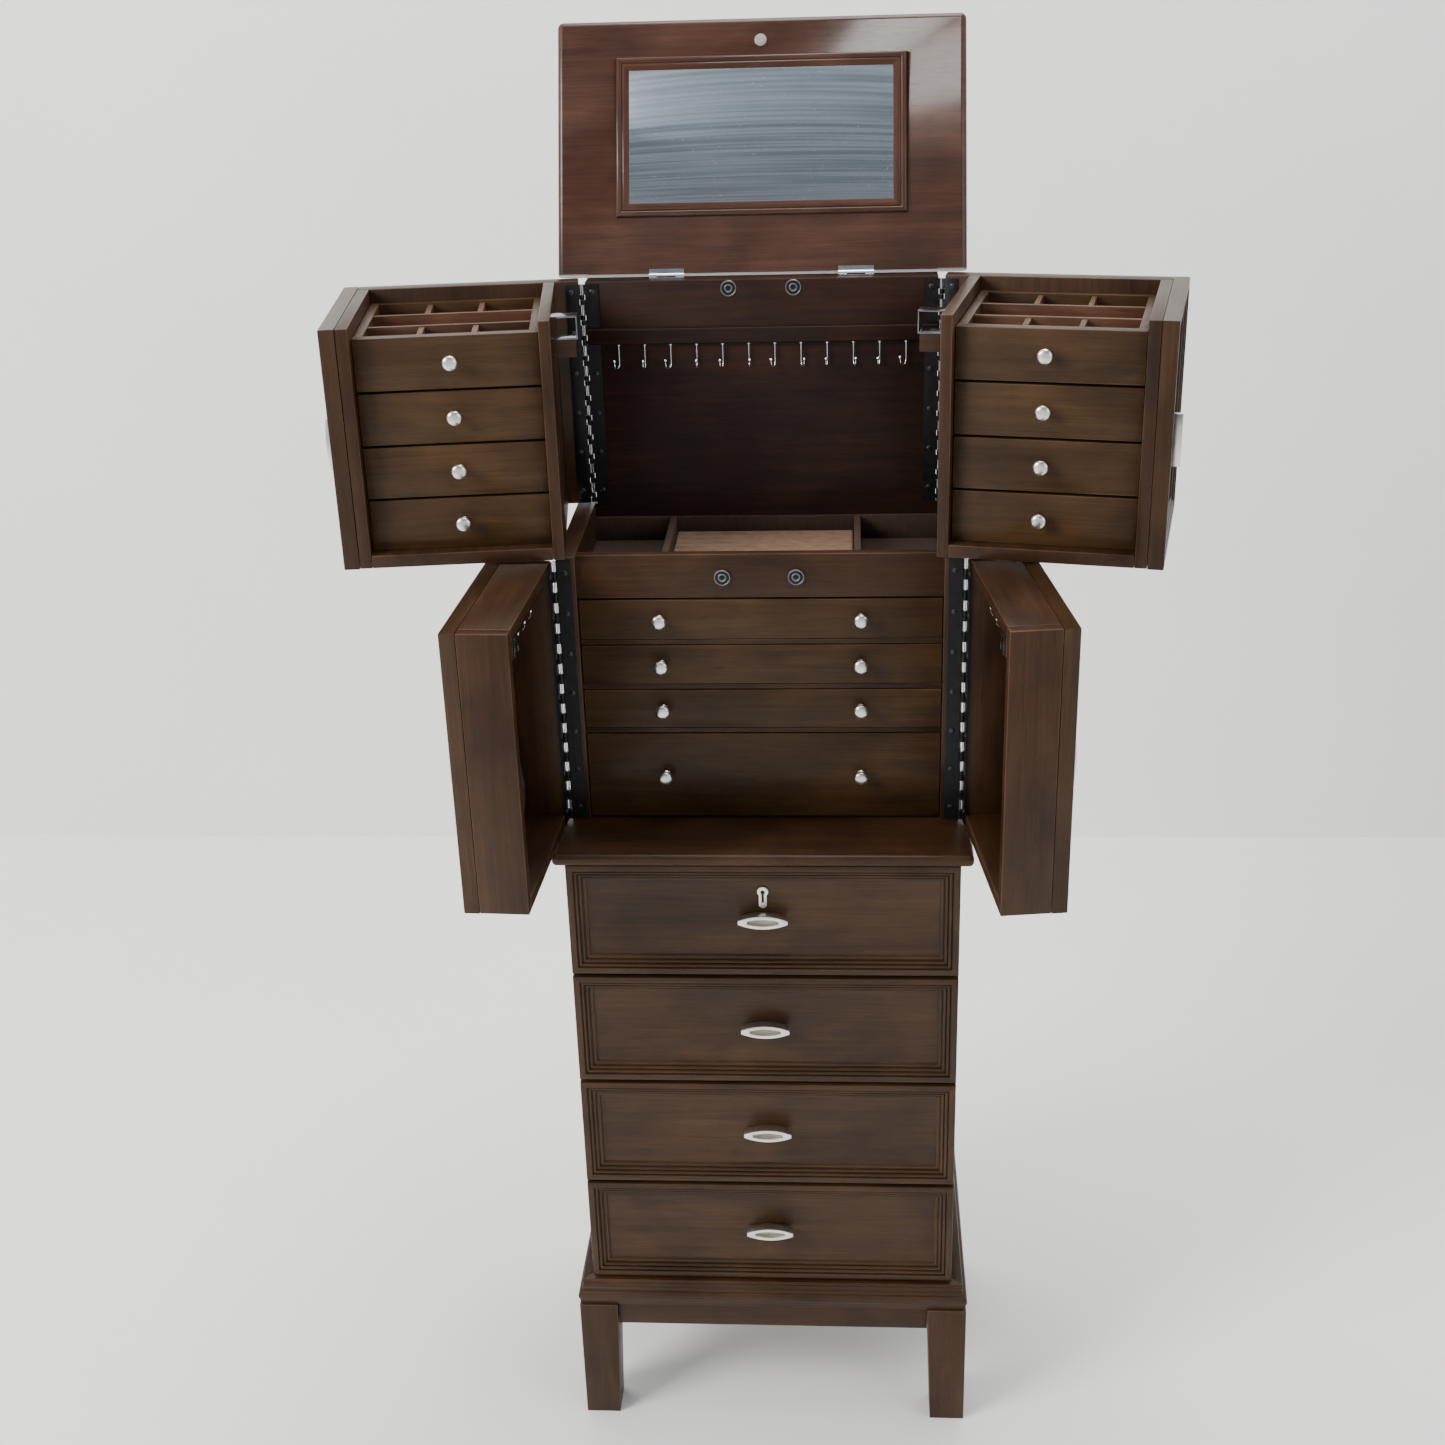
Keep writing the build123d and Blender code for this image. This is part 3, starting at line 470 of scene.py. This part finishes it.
# ------------------------------------------------------------------ repeated parts
class Pattern:
    """A geometry node tree that sets copies of a part out in a row."""

    INPUTS = (
        ("Part", "Object"),
        ("Count", "Int"),
        ("First", "Vector"),
        ("Step", "Vector"),
        ("Facing", "Rotation"),
        ("Spin", "Float"),
        ("Seed", "Int"),
        ("Finish", "Material"),
    )

    def __init__(self, name):
        self.tree = bpy.data.node_groups.new(name, "GeometryNodeTree")
        self.tree.interface.new_socket("Geometry", in_out="OUTPUT", socket_type="NodeSocketGeometry")
        self.sockets = {}
        for label, kind in self.INPUTS:
            made = self.tree.interface.new_socket(label, in_out="INPUT", socket_type="NodeSocket" + kind)
            self.sockets[label] = made.identifier
        given = self.tree.nodes.new("NodeGroupInput")
        settings = {"transform_space": "ORIGINAL"}
        part = self.node("GeometryNodeObjectInfo", settings, {"Object": given.outputs["Part"]})
        line = self.node("GeometryNodeMeshLine", {"mode": "OFFSET"}, {
            "Count": given.outputs["Count"],
            "Start Location": given.outputs["First"],
            "Offset": given.outputs["Step"]})
        set_out = self.node("GeometryNodeInstanceOnPoints", None, {
            "Points": line[0], "Instance": part["Geometry"], "Rotation": given.outputs["Facing"]})
        turn = self.node("FunctionNodeRandomValue", {"data_type": "FLOAT"}, {"Seed": given.outputs["Seed"]})
        angle = self.node("ShaderNodeMath", {"operation": "MULTIPLY"}, {0: turn[1], 1: given.outputs["Spin"]})
        spin = self.node("ShaderNodeCombineXYZ", None, {"Z": angle[0]})
        turned = self.node("GeometryNodeRotateInstances", None, {
            "Instances": set_out[0], "Rotation": spin[0]})
        solid = self.node("GeometryNodeRealizeInstances", None, {0: turned[0]})
        painted = self.node("GeometryNodeSetMaterial", None, {
            "Geometry": solid[0], "Material": given.outputs["Finish"]})
        output = self.tree.nodes.new("NodeGroupOutput")
        self.tree.links.new(painted[0], output.inputs[0])

    def node(self, kind, settings, sockets):
        made = self.tree.nodes.new(kind)
        for key, value in (settings or {}).items():
            setattr(made, key, value)
        for key, source in sockets.items():
            self.tree.links.new(source, made.inputs[key])
        return made.outputs

    def lay(self, into, **inputs):
        """Evaluate one row and add its mesh to a bmesh."""
        carrier = bpy.data.objects.new("row", bpy.data.meshes.new("row"))
        bpy.context.scene.collection.objects.link(carrier)
        modifier = carrier.modifiers.new("row", "NODES")
        modifier.node_group = self.tree
        for label, value in inputs.items():
            modifier[self.sockets[label]] = value
        bpy.context.view_layer.update()
        seen = carrier.evaluated_get(bpy.context.evaluated_depsgraph_get())
        mesh = bpy.data.meshes.new_from_object(seen)
        into.from_mesh(mesh)
        carrier.modifiers.clear()
        bpy.data.objects.remove(carrier)
        bpy.data.meshes.remove(mesh)


def part_object(name, bm):
    """A single part, kept out of the scene, for a pattern to copy."""
    mesh = bpy.data.meshes.new(name)
    bm.to_mesh(mesh)
    bm.free()
    return bpy.data.objects.new(name, mesh)


def turned_part(profile, steps=24, bm=None, matrix=None):
    """Closed solid of revolution about Z from (radius, height) pairs in millimetres."""
    bm = bm or bmesh.new()
    matrix = matrix or Matrix.Identity(4)
    rings = []
    for radius, height in profile:
        if radius == 0:
            rings.append([bm.verts.new(matrix @ Vector((0, 0, height * MM)))] * steps)
            continue
        turns = [2 * pi * k / steps for k in range(steps)]
        spots = [Vector((radius * cos(t) * MM, radius * sin(t) * MM, height * MM)) for t in turns]
        rings.append([bm.verts.new(matrix @ spot) for spot in spots])
    for low, high in zip(rings, rings[1:]):
        for k in range(steps):
            corners = [low[k], low[(k + 1) % steps], high[(k + 1) % steps], high[k]]
            unique = list(dict.fromkeys(corners))
            if len(unique) > 2:
                bm.faces.new(unique)
    return bm


def quarter(x, y, turns):
    """A point turned about the origin by some quarter turns."""
    for turn in range(turns):
        x, y = -y, x
    return x, y


def screw_head():
    """Small round screw head with a cross recess."""
    bm = bmesh.new()
    a, b = 0.38, 1.35
    arm = [(b, -a), (b, a), (a, a)]
    cross = [quarter(x, y, k) for k in range(4) for x, y in arm]
    deep = [bm.verts.new(Vector((x, y, 0.15)) * MM) for x, y in cross]
    lip = [bm.verts.new(Vector((x, y, 0.95)) * MM) for x, y in cross]
    rings = [lip]
    for radius, height in ((1.9, 0.9), (2.5, 0.55), (2.7, 0.0)):
        ring = []
        for x, y in cross:
            t = atan2(y, x)
            ring.append(bm.verts.new(Vector((radius * cos(t), radius * sin(t), height)) * MM))
        rings.append(ring)
    for inner, outer in [(deep, lip)] + list(zip(rings, rings[1:])):
        for k in range(12):
            bm.faces.new((inner[k], inner[(k + 1) % 12], outer[(k + 1) % 12], outer[k]))
    bm.faces.new(deep)
    bm.faces.new(rings[-1])
    bmesh.ops.recalc_face_normals(bm, faces=bm.faces)
    return part_object("leaf_screw", bm)


def toward(direction):
    """Matrix that turns +Z to a direction."""
    return Vector(direction).to_track_quat("Z", "Y").to_matrix().to_4x4()


def facing(direction):
    """Euler angles that turn +Z to a direction."""
    return Vector(direction).to_track_quat("Z", "Y").to_euler()


def doorway(pin, u_axis, v_axis):
    """Function from (u, v, z) in millimetres to the armoire's frame, for a swinging part at rest."""
    origin = Vector(pin) * MM

    def at(u, v, z):
        return origin + u_axis * u * MM + v_axis * v * MM + Vector((0, 0, z * MM))

    return at


# ------------------------------------------------------------------ moulded fronts
# inset from the edge and depth below the face, in millimetres
DRAWER_MOULDING = [
    (0, 18), (0, 1.0), (0.3, 0.3), (1.0, 0), (6.0, 0), (6.4, 0.15), (6.6, 0.5), (6.6, 2.2),
    (7.0, 2.3), (7.4, 1.6), (8.2, 1.15), (9.2, 1.15), (10.0, 1.6), (10.4, 2.4), (10.4, 4.0),
    (10.9, 4.1), (11.3, 3.4), (12.1, 3.0), (13.0, 3.05), (13.8, 3.5), (14.2, 4.3), (14.2, 5.7),
    (14.8, 5.8), (15.4, 5.3), (16.4, 5.2), (17.6, 5.6), (18.6, 6.5), (19.2, 7.8), (19.6, 7.9),
]


def moulded_front(bm, middle, right, up, out, width, height, profile):
    """Add a board with a mitred frame of beads round a sunk panel; returns the mesh it was given."""
    rings = []
    for inset, depth in profile:
        half_w, half_h = (width / 2 - inset) * MM, (height / 2 - inset) * MM
        corners = [(-half_w, -half_h), (half_w, -half_h), (half_w, half_h), (-half_w, half_h)]
        rings.append([bm.verts.new(middle + right * x + up * y - out * depth * MM) for x, y in corners])
    for outer, inner in zip(rings, rings[1:]):
        for k in range(4):
            bm.faces.new((outer[k], outer[(k + 1) % 4], inner[(k + 1) % 4], inner[k]))
    bm.faces.new(rings[-1])
    bm.faces.new(list(reversed(rings[0])))
    bmesh.ops.recalc_face_normals(bm, faces=bm.faces)
    return bm


# width of the beaded frame in millimetres; depth in metres past which a face is the board's back
FRAME_WIDTH = 20
BACK_OF_FRONT = 0.0178


def frame_axes(middle, right, up, out, width, height, panel_run):
    """Grain axes for a moulded front: rails run across, stiles run up, the panel as told."""

    def axes(face):
        spot = face.calc_center_median() - middle
        x, y = spot.dot(right) / MM, spot.dot(up) / MM
        in_frame = max(abs(x) - width / 2, abs(y) - height / 2) + FRAME_WIDTH >= -0.5
        if not in_frame or abs(spot.dot(out)) > BACK_OF_FRONT:
            return panel_run, out, 0
        if width / 2 - abs(x) < height / 2 - abs(y):
            return up, out, 1 if x > 0 else 2
        return right, out, 3 if y > 0 else 4

    return axes


KNOB_SPAN = 0.017
FLOOR_THICK, FLOOR_SPAN = 0.0034, 0.05


def is_knob(group):
    """True for an island of points no larger than a knob."""
    spans = [max(v.co[k] for v in group) - min(v.co[k] for v in group) for k in range(3)]
    return max(spans) < KNOB_SPAN


def is_floor(group):
    """True for a thin board lying flat, such as a drawer's floor."""
    spans = [max(v.co[k] for v in group) - min(v.co[k] for v in group) for k in range(3)]
    return spans[2] < FLOOR_THICK and min(spans[:2]) > FLOOR_SPAN


# ------------------------------------------------------------------ the studio
set_camera()
soft_light("window_left", (-3.3, -2.2, 3.1), (0, 0, 0.9), 1.8, 215, (1.0, 0.99, 0.97))
soft_light("fill_right", (2.8, -2.0, 2.4), (0, 0, 0.7), 2.5, 35, (0.97, 0.98, 1.0))
soft_light("ceiling_strip", (0.2, 0.3, 3.6), (0, 0.6, 0), 1.6, 75)
world = bpy.data.worlds.new("studio")
bpy.context.scene.world = world
world.use_nodes = True
world.node_tree.nodes["Background"].inputs[0].default_value = (0.95, 0.97, 1.0, 1)
world.node_tree.nodes["Background"].inputs[1].default_value = 0.9


def backdrop(name, corners, finish):
    """Flat sheet of the studio, which isn't part of the armoire."""
    mesh = bpy.data.meshes.new(name)
    mesh.from_pydata(corners, [], [(0, 1, 2, 3)])
    sheet = bpy.data.objects.new(name, mesh)
    bpy.context.scene.collection.objects.link(sheet)
    mesh.materials.append(finish)


pale = pale_floor()
backdrop("floor", [(-7, -7, 0), (7, -7, 0), (7, 7, 0), (-7, 7, 0)], pale)
shaded = Finish("studio_ceiling")
ribs = shaded.noise(shaded.place((0.25, 9, 1)), 2.0, 0.4)
shaded.wire(shaded.ramp(ribs, [(0.35, (0.10, 0.12, 0.15)), (0.6, (0.2, 0.23, 0.28))]), "Base Color")
backdrop("ceiling", [(-5, -10, 4.2), (5, -10, 4.2), (5, 0.6, 4.2), (-5, 0.6, 4.2)], shaded.material)
backdrop("back_wall", [(-7, 1.24, 0), (7, 1.24, 0), (7, 1.24, 3.4), (-7, 1.24, 3.4)], pale)

# ------------------------------------------------------------------ carcass
for node in ("stand", "base_moulding", "lower_case", "ledge_board", "middle_case"):
    boards(node, CASE)
boards("back_panel", INSIDE, 1.0)
boards("hook_bar", INSIDE, 0.5)
metalwork("necklace_hooks", CHROME)
metalwork("tray_liner", FELT, width=0.6)

fixed_leaves = bmesh.new()
fixed_leaves.from_mesh(NODES["fixed_hinge_leaves"].data)
bmesh.ops.remove_doubles(fixed_leaves, verts=fixed_leaves.verts, dist=5e-6)
# from the middle and from the drawer fronts, in millimetres
UPPER_PIN, LOWER_PIN = (173.0, 233.9), (192.0, 69.5)
PINS = [(s * x * MM, FACE_Y + y * MM) for s in (-1, 1) for x, y in (UPPER_PIN, LOWER_PIN)]
BARE_PIN = 0.00125
KNUCKLE_PITCH = 20
for face in fixed_leaves.faces:
    spot = face.verts
    near = [max((Vector(v.co[:2]) - Vector(pin)).length for v in spot) for pin in PINS]
    face.material_index = 1 if min(near) < BARE_PIN else 0
screws = Pattern("screws_along_a_leaf")
screw = screw_head()


def screw_row(bm, first, last, count, out, seed):
    """Row of leaf screws between two points, heads towards out."""
    first, last = Vector(first), Vector(last)
    step = (last - first) / (count - 1)
    screws.lay(bm, Part=screw, Count=count, First=first, Step=step, Facing=facing(out), Spin=3.1,
               Seed=seed, Finish=SCREW)


def leaf_tabs(bm, at, z_span, sign, v_span):
    """Tabs that bring a leaf's edge close to the pin wherever the pin is bare."""
    low, high = z_span
    pitches = round((high - low) / KNUCKLE_PITCH)
    pitch = (high - low) / pitches
    for i in range(pitches):
        heights = (low + (i + 0.5) * pitch + 0.1, low + (i + 1) * pitch - 0.1)
        corners = [bm.verts.new(at(sign * u, v, z)) for z in heights for v in v_span for u in (1.35, 2.9)]
        for ring in ((0, 1, 3, 2), (4, 5, 7, 6), (0, 1, 5, 4), (2, 3, 7, 6), (0, 2, 6, 4), (1, 3, 7, 5)):
            bm.faces.new([corners[k] for k in ring])


UPPER_LEAF, LOWER_LEAF = (969.0, 1187.4), (694.0, 963.0)
UPPER_SEAT, LOWER_SEAT = (-0.6, 0.6), (1.2, 2.4)
BACK = Vector((0, 1, 0))
for s in (-1, 1):
    for (x, y), span, seat in ((UPPER_PIN, UPPER_LEAF, UPPER_SEAT), (LOWER_PIN, LOWER_LEAF, LOWER_SEAT)):
        at = doorway((s * x, FACE_Y / MM + y, 0), Vector((1, 0, 0)), BACK)
        leaf_tabs(fixed_leaves, at, span, -s, seat)
bmesh.ops.recalc_face_normals(fixed_leaves, faces=fixed_leaves.faces)

leaf_screws = bmesh.new()
for s in (-1, 1):
    x, y = s * 0.1632, FACE_Y + (233.9 - 0.6) * MM
    screw_row(leaf_screws, (x, y, 0.981), (x, y, 1.180), 6, (0, -1, 0), 3 + s)
    x, y = s * 0.1822, FACE_Y + (69.5 + 1.2) * MM
    screw_row(leaf_screws, (x, y, 0.706), (x, y, 0.951), 7, (0, -1, 0), 7 + s)
piece("fixed_leaf_screws", leaf_screws, SCREW, "carcass")
comb_finishes = [ENAMEL, CHROME]
piece("fixed_comb_leaves", fixed_leaves, comb_finishes, "carcass", ["fixed_hinge_leaves"], 32)
metalwork("lid_hinge_fixed_leaves", CHROME)


def catch(bm, spot, stand_off):
    """Round catch magnet: steel cup, ring magnet and a sunk screw, facing forwards."""
    matrix = Matrix.Translation(Vector(spot) * MM) @ toward((0, -1, 0))
    h = stand_off
    profile = [(0, 0), (7.8, 0), (7.8, h - 0.4), (7.5, h - 0.05), (6.9, h), (6.5, h - 0.25), (6.3, h - 0.55),
               (4.3, h - 0.55), (4.1, h - 0.2), (3.7, h), (3.0, h - 0.1), (2.3, h - 0.9), (1.6, h - 0.95),
               (0.6, h - 0.8), (0, h - 0.8)]
    turned_part(profile, 32, bm, matrix)


magnets = bmesh.new()
for s in (-1, 1):
    catch(magnets, (s * 31.2, FACE_Y / MM + 234.5, 1181), 1.0)
    catch(magnets, (s * 34.6, FACE_Y / MM + 77, 943.5), 3.0)
bmesh.ops.recalc_face_normals(magnets, faces=magnets.faces)
for face in magnets.faces:
    spot = face.calc_center_median() / MM
    reach = min(((abs(spot.x) - x) ** 2 + (spot.z - z) ** 2) ** 0.5 for x, z in ((31.2, 1181), (34.6, 943.5)))
    face.material_index = 1 if 3.9 < reach < 6.6 or reach < 2.4 else 0
piece("catch_cups", magnets, [STEEL, ENAMEL], "carcass", ["catch_magnets"], 40)

# the ring rolls
ROLL_PITCH = 12.6 * MM
low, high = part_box("ring_rolls")
count = round((high[1] - low[1]) / ROLL_PITCH)
pitch = (high[1] - low[1]) / count
radius = pitch / 2 / MM
half = (high[0] - low[0]) / 2 / MM
roll_profile = [(0, -half)]
for k in range(7):
    t = radians(15 * k)
    roll_profile.append((radius - 2.6 + 2.6 * sin(t) if k else radius - 2.9, -half + 2.6 - 2.6 * cos(t)))
for k in range(1, 24):
    z = -half + 4 + (2 * half - 8) * k / 24
    roll_profile.append((radius * (1 - 0.02 * abs(sin(k * 1.7))), z))
roll_profile += [(r, -z) for r, z in reversed(roll_profile[1:8])] + [(0, half)]
roll = turned_part(roll_profile, 20)
bmesh.ops.recalc_face_normals(roll, faces=roll.faces)
for v in roll.verts:
    v.co = Vector((v.co.z, v.co.y * 1.02, v.co.x))
roll_part = part_object("ring_roll", roll)
rolls = bmesh.new()
middle = Vector(((low[0] + high[0]) / 2, low[1] + pitch / 2, high[2] - radius * MM))
rows = Pattern("ring_rolls_in_a_row")
rows.lay(rolls, Part=roll_part, Count=count, First=middle, Step=(0, pitch, 0), Facing=(0, 0, 0),
         Spin=0.0, Seed=1, Finish=ROLLS)
bmesh.ops.recalc_face_normals(rolls, faces=rolls.faces)
ring_rolls = piece("padded_ring_rolls", rolls, ROLLS, "carcass", ["ring_rolls"], 60)

# ------------------------------------------------------------------ lid
boards("lid_panel", LID, 0.6)
metalwork("lid_hinge_moving_leaves", CHROME)
LEAN = radians(24.0)
LID_UP = Vector((0, sin(LEAN), cos(LEAN)))
LID_OUT = Vector((0, -cos(LEAN), sin(LEAN)))
LID_FOOT = Vector((0, FACE_Y + 0.249, 1.1916)) + LID_UP * 0.0025 - LID_OUT * 0.0003
RIGHT = Vector((1, 0, 0))
# width and height of the mirror's frame, in millimetres
SURROUND = (281.0, 154.5)


def mirror_surround():
    """Mitred frame round the mirror: a rounded outer bead falling in steps to the glass."""
    profile = [(0, 0), (0, -1.6), (0.5, -2.8), (1.6, -3.7), (3.0, -4.1), (4.4, -3.8), (5.3, -3.1),
               (5.5, -2.5), (6.2, -2.4), (6.8, -3.2), (7.9, -3.6), (9.0, -3.4), (10.6, -3.0), (11.9, -2.6),
               (12.6, -2.45), (13, -2.2), (13, 0)]
    bm = bmesh.new()
    middle = LID_FOOT + LID_UP * (54.0 + 208.5) / 2 * MM
    moulded_front(bm, middle, RIGHT, LID_UP, LID_OUT, *SURROUND, profile)
    for face in [f for f in bm.faces if f.calc_area() > 0.02]:
        bm.faces.remove(face)
    edges = [e for e in bm.edges if e.is_boundary]
    bmesh.ops.bridge_loops(bm, edges=edges)
    bmesh.ops.recalc_face_normals(bm, faces=bm.faces)
    lay_grain(bm, frame_axes(middle, RIGHT, LID_UP, LID_OUT, *SURROUND, RIGHT))
    piece("mirror_surround", bm, LID, "lid", ["mirror_frame"], 50)


mirror_surround()
metalwork("mirror_glass", MIRROR, width=0.5)
bumper = turned_part([(0, 0), (5.6, 0), (6, 0.3), (5.8, 0.8), (5.0, 1.15), (2.0, 1.2), (0, 1.1)], 32, None,
                     Matrix.Translation(LID_FOOT + LID_UP * 0.223) @ toward(LID_OUT))
bmesh.ops.recalc_face_normals(bumper, faces=bumper.faces)
piece("lid_bumper_pad", bumper, RUBBER, "lid", ["lid_bumper"], 50)

# ------------------------------------------------------------------ large drawers
# width and height of a front, the lowest front's foot and the step from one to the next, in millimetres
DRAWER_FRONT = (380.0, 121.0)
DRAWER_FOOT, DRAWER_STEP = 181.5, 125
for i in range(4):
    node = f"large_drawer_{i + 1}"
    low_z = DRAWER_FOOT + (3 - i) * DRAWER_STEP
    centre = Vector((0, FACE_Y, (low_z + DRAWER_FRONT[1] / 2) * MM))
    out, up = Vector((0, -1, 0)), Vector((0, 0, 1))
    box = merged(node)
    front = [v for group in islands(box) if min(v.co.y for v in group) < FACE_Y + 0.001 for v in group]
    bmesh.ops.delete(box, geom=front, context="VERTS")
    for group in islands(box):
        for face in {f for v in group for f in v.link_faces}:
            face.material_index = 2 if is_floor(group) else 1
    ease_edges(box, 0.7 * MM)
    lay_grain(box)
    panel = moulded_front(bmesh.new(), centre, RIGHT, up, out, *DRAWER_FRONT, DRAWER_MOULDING)
    lay_grain(panel, frame_axes(centre, RIGHT, up, out, *DRAWER_FRONT, RIGHT))
    spare = bpy.data.meshes.new("spare")
    panel.to_mesh(spare)
    panel.free()
    box.from_mesh(spare)
    bpy.data.meshes.remove(spare)
    piece("moulded_" + node, box, [MOULDED, INSIDE, FELT], node, [node])
    metalwork(node + "_pull", NICKEL, width=0.5)
metalwork("keyhole_escutcheon", NICKEL, width=0.3)
metalwork("lock_bolt", NICKEL)

# ------------------------------------------------------------------ drawers with knobs
DIVIDER_TOP = 1.1770
for i in range(4):
    boards(f"middle_drawer_{i + 1}", [FRONT, NICKEL, FELT], 0.6,
           lambda group: 1 if is_knob(group) else 2 if is_floor(group) else 0)
for side in ("left", "right"):
    for i in range(4):
        def choose(group):
            if is_knob(group):
                return 1
            if is_floor(group):
                return 2
            top = max(v.co.z for v in group)
            return 3 if i == 0 and top < DIVIDER_TOP else 0

        boards(f"upper_{side}_drawer_{i + 1}", [FRONT, NICKEL, FELT, DIVIDER], 0.6, choose)

# ------------------------------------------------------------------ swinging boxes and doors
def gathered_pouch(side, at, u_span, z_span, v_back, v_front):
    """Cloth pocket that bellies out of its door, pleated under a gathered hem and shut by a snap."""
    columns, rows = 78, 30
    bm = bmesh.new()

    def spot(i, j):
        a, b = i / columns, j / rows
        arch = max(0.0, sin(pi * a)) ** 0.45
        belly = arch * max(0.0, sin(pi * min(1.0, 0.03 + 0.92 * b))) ** 0.55
        pleat = (0.5 + 0.5 * cos(26 * pi * a + 1.3 * sin(7 * a))) * (0.1 + 0.9 * b ** 3) * 0.22
        hem = arch * max(0.0, 1 - abs(b - 0.93) / 0.05) * 0.12
        out = min(1.0, belly * (0.88 - pleat) + hem + 0.03)
        drop = 2.2 * pleat * b
        u = u_span[0] + (u_span[1] - u_span[0]) * a
        z = z_span[0] + (z_span[1] - z_span[0]) * b - drop
        return at(u, v_back + (v_front - v_back) * out, z)

    front = [[bm.verts.new(spot(i, j)) for i in range(columns + 1)] for j in range(rows + 1)]
    for j in range(rows):
        for i in range(columns):
            bm.faces.new((front[j][i], front[j][i + 1], front[j + 1][i + 1], front[j + 1][i]))
    rim = front[0] + [row[-1] for row in front[1:]] + front[-1][-2::-1] + [row[0] for row in front[-2:0:-1]]
    onto_back = (at(0, v_back, 0) - at(0, 0, 0)).normalized()
    level = at(0, v_back, 0).dot(onto_back)
    seated = [bm.verts.new(p.co + onto_back * (level - p.co.dot(onto_back))) for p in rim]
    for k in range(len(rim)):
        n = (k + 1) % len(rim)
        bm.faces.new((rim[k], rim[n], seated[n], seated[k]))
    bm.faces.new(seated)
    bmesh.ops.recalc_face_normals(bm, faces=bm.faces)
    node = f"lower_{side}_pocket"
    pouch = piece(f"gathered_{node}", bm, POUCH, BODY_OF[node], [node], 60)
    top = z_span[0] + (z_span[1] - z_span[0]) * 0.93
    outward = (at(0, v_front, 0) - at(0, v_back, 0)).normalized()
    matrix = Matrix.Translation(at(sum(u_span) / 2, v_front, top) - outward * 0.0012)
    matrix = matrix @ toward(outward)
    dome = [(0, -1.5), (3.4, -1.5), (3.6, -0.9), (3.4, -0.5), (2.9, -0.4), (2.7, 0.5), (2.0, 1.1), (0, 1.3)]
    snap = turned_part(dome, 20, None, matrix)
    bmesh.ops.recalc_face_normals(snap, faces=snap.faces)
    piece(f"snap_of_{node}", snap, CHROME, BODY_OF[node], angle=40)


UPPER = {"left": (-1, 83.5), "right": (1, 78.5)}
LOWER = {"left": (-1, 93.0), "right": (1, 97.0)}
FACE_THICK = 14.4
FACE_MOULDING = [(inset, min(depth, FACE_THICK)) for inset, depth in DRAWER_MOULDING]


def moulded_face(node, middle, right, up, out, width, height):
    bm = moulded_front(bmesh.new(), middle, right, up, out, width, height, FACE_MOULDING)
    lay_grain(bm, frame_axes(middle, right, up, out, width, height, up))
    piece("moulded_" + node, bm, MOULDED, BODY_OF[node], [node])


def hinge_side(node, choose, at, span, seat):
    """Moving hinge leaf with its strike; choose(island) picks enamel, chrome or wood."""

    def tabs(bm):
        leaf_tabs(bm, at, span, 1, seat)
        bmesh.ops.recalc_face_normals(bm, faces=bm.faces)

    boards(node, [ENAMEL, STRIKE, CASE], 0.25, choose, tabs)


for side, (s, degrees_open) in UPPER.items():
    a = radians(degrees_open)
    u = Vector((s * sin(a), -cos(a), 0))
    v = Vector((-s * cos(a), -sin(a), 0))
    at = doorway((s * 173.0, FACE_Y / MM + 233.9, 0), u, v)
    boards(f"upper_{side}_case", CASE, 0.8)
    outside = at(215.2 + 0.2 + 14.6, (172.2 - 16.6) / 2, (967.5 + 1190.4) / 2)
    moulded_face(f"upper_{side}_face", outside, v, Vector((0, 0, 1)), u, 188.8, 222.9)
    metalwork(f"upper_{side}_pull", NICKEL, width=0.5)

    def upper_fitting(group):
        tall = max(p.co.z for p in group) - min(p.co.z for p in group)
        top = max(p.co.z for p in group)
        return 0 if tall > 0.05 else 2 if top < 1.1679 else 1

    hinge_side(f"upper_{side}_hinge_and_strike", upper_fitting, at, UPPER_LEAF, UPPER_SEAT)
    bm = bmesh.new()
    screw_row(bm, at(10.5, 0.6, 981), at(10.5, 0.6, 1180), 6, v, 11 + s)
    piece(f"upper_{side}_leaf_screws", bm, SCREW, f"upper_{side}_box")

for side, (s, degrees_open) in LOWER.items():
    a = radians(degrees_open)
    u = Vector((-s * cos(a), -sin(a), 0))
    v = Vector((s * sin(a), -cos(a), 0))
    at = doorway((s * 192.0, FACE_Y / MM + 69.5, 0), u, v)
    boards(f"lower_{side}_case", [CASE, INSIDE], 0.8,
           lambda group: 1 if max(p.co.z for p in group) < 0.93 and min(p.co.z for p in group) > 0.8 else 0)
    outside = at((1.5 + 191.0) / 2, 48.2 + 0.2 + 14.6, (692.5 + 964.5) / 2)
    moulded_face(f"lower_{side}_face", outside, u, Vector((0, 0, 1)), v, 189.5, 272.0)
    metalwork(f"lower_{side}_pull", NICKEL, width=0.5)
    metalwork(f"lower_{side}_hooks", CHROME)
    gathered_pouch(side, at, (15.5, 177.0), (706.0, 778.0), 47.9, 27.0)

    def lower_fitting(group):
        return 0 if max(p.co.z for p in group) - min(p.co.z for p in group) > 0.05 else 1

    hinge_side(f"lower_{side}_hinge_and_strike", lower_fitting, at, LOWER_LEAF, LOWER_SEAT)
    bm = bmesh.new()
    screw_row(bm, at(9.5, 1.2, 706), at(9.5, 1.2, 951), 7, -v, 15 + s)
    piece(f"lower_{side}_leaf_screws", bm, SCREW, f"lower_{side}_door")
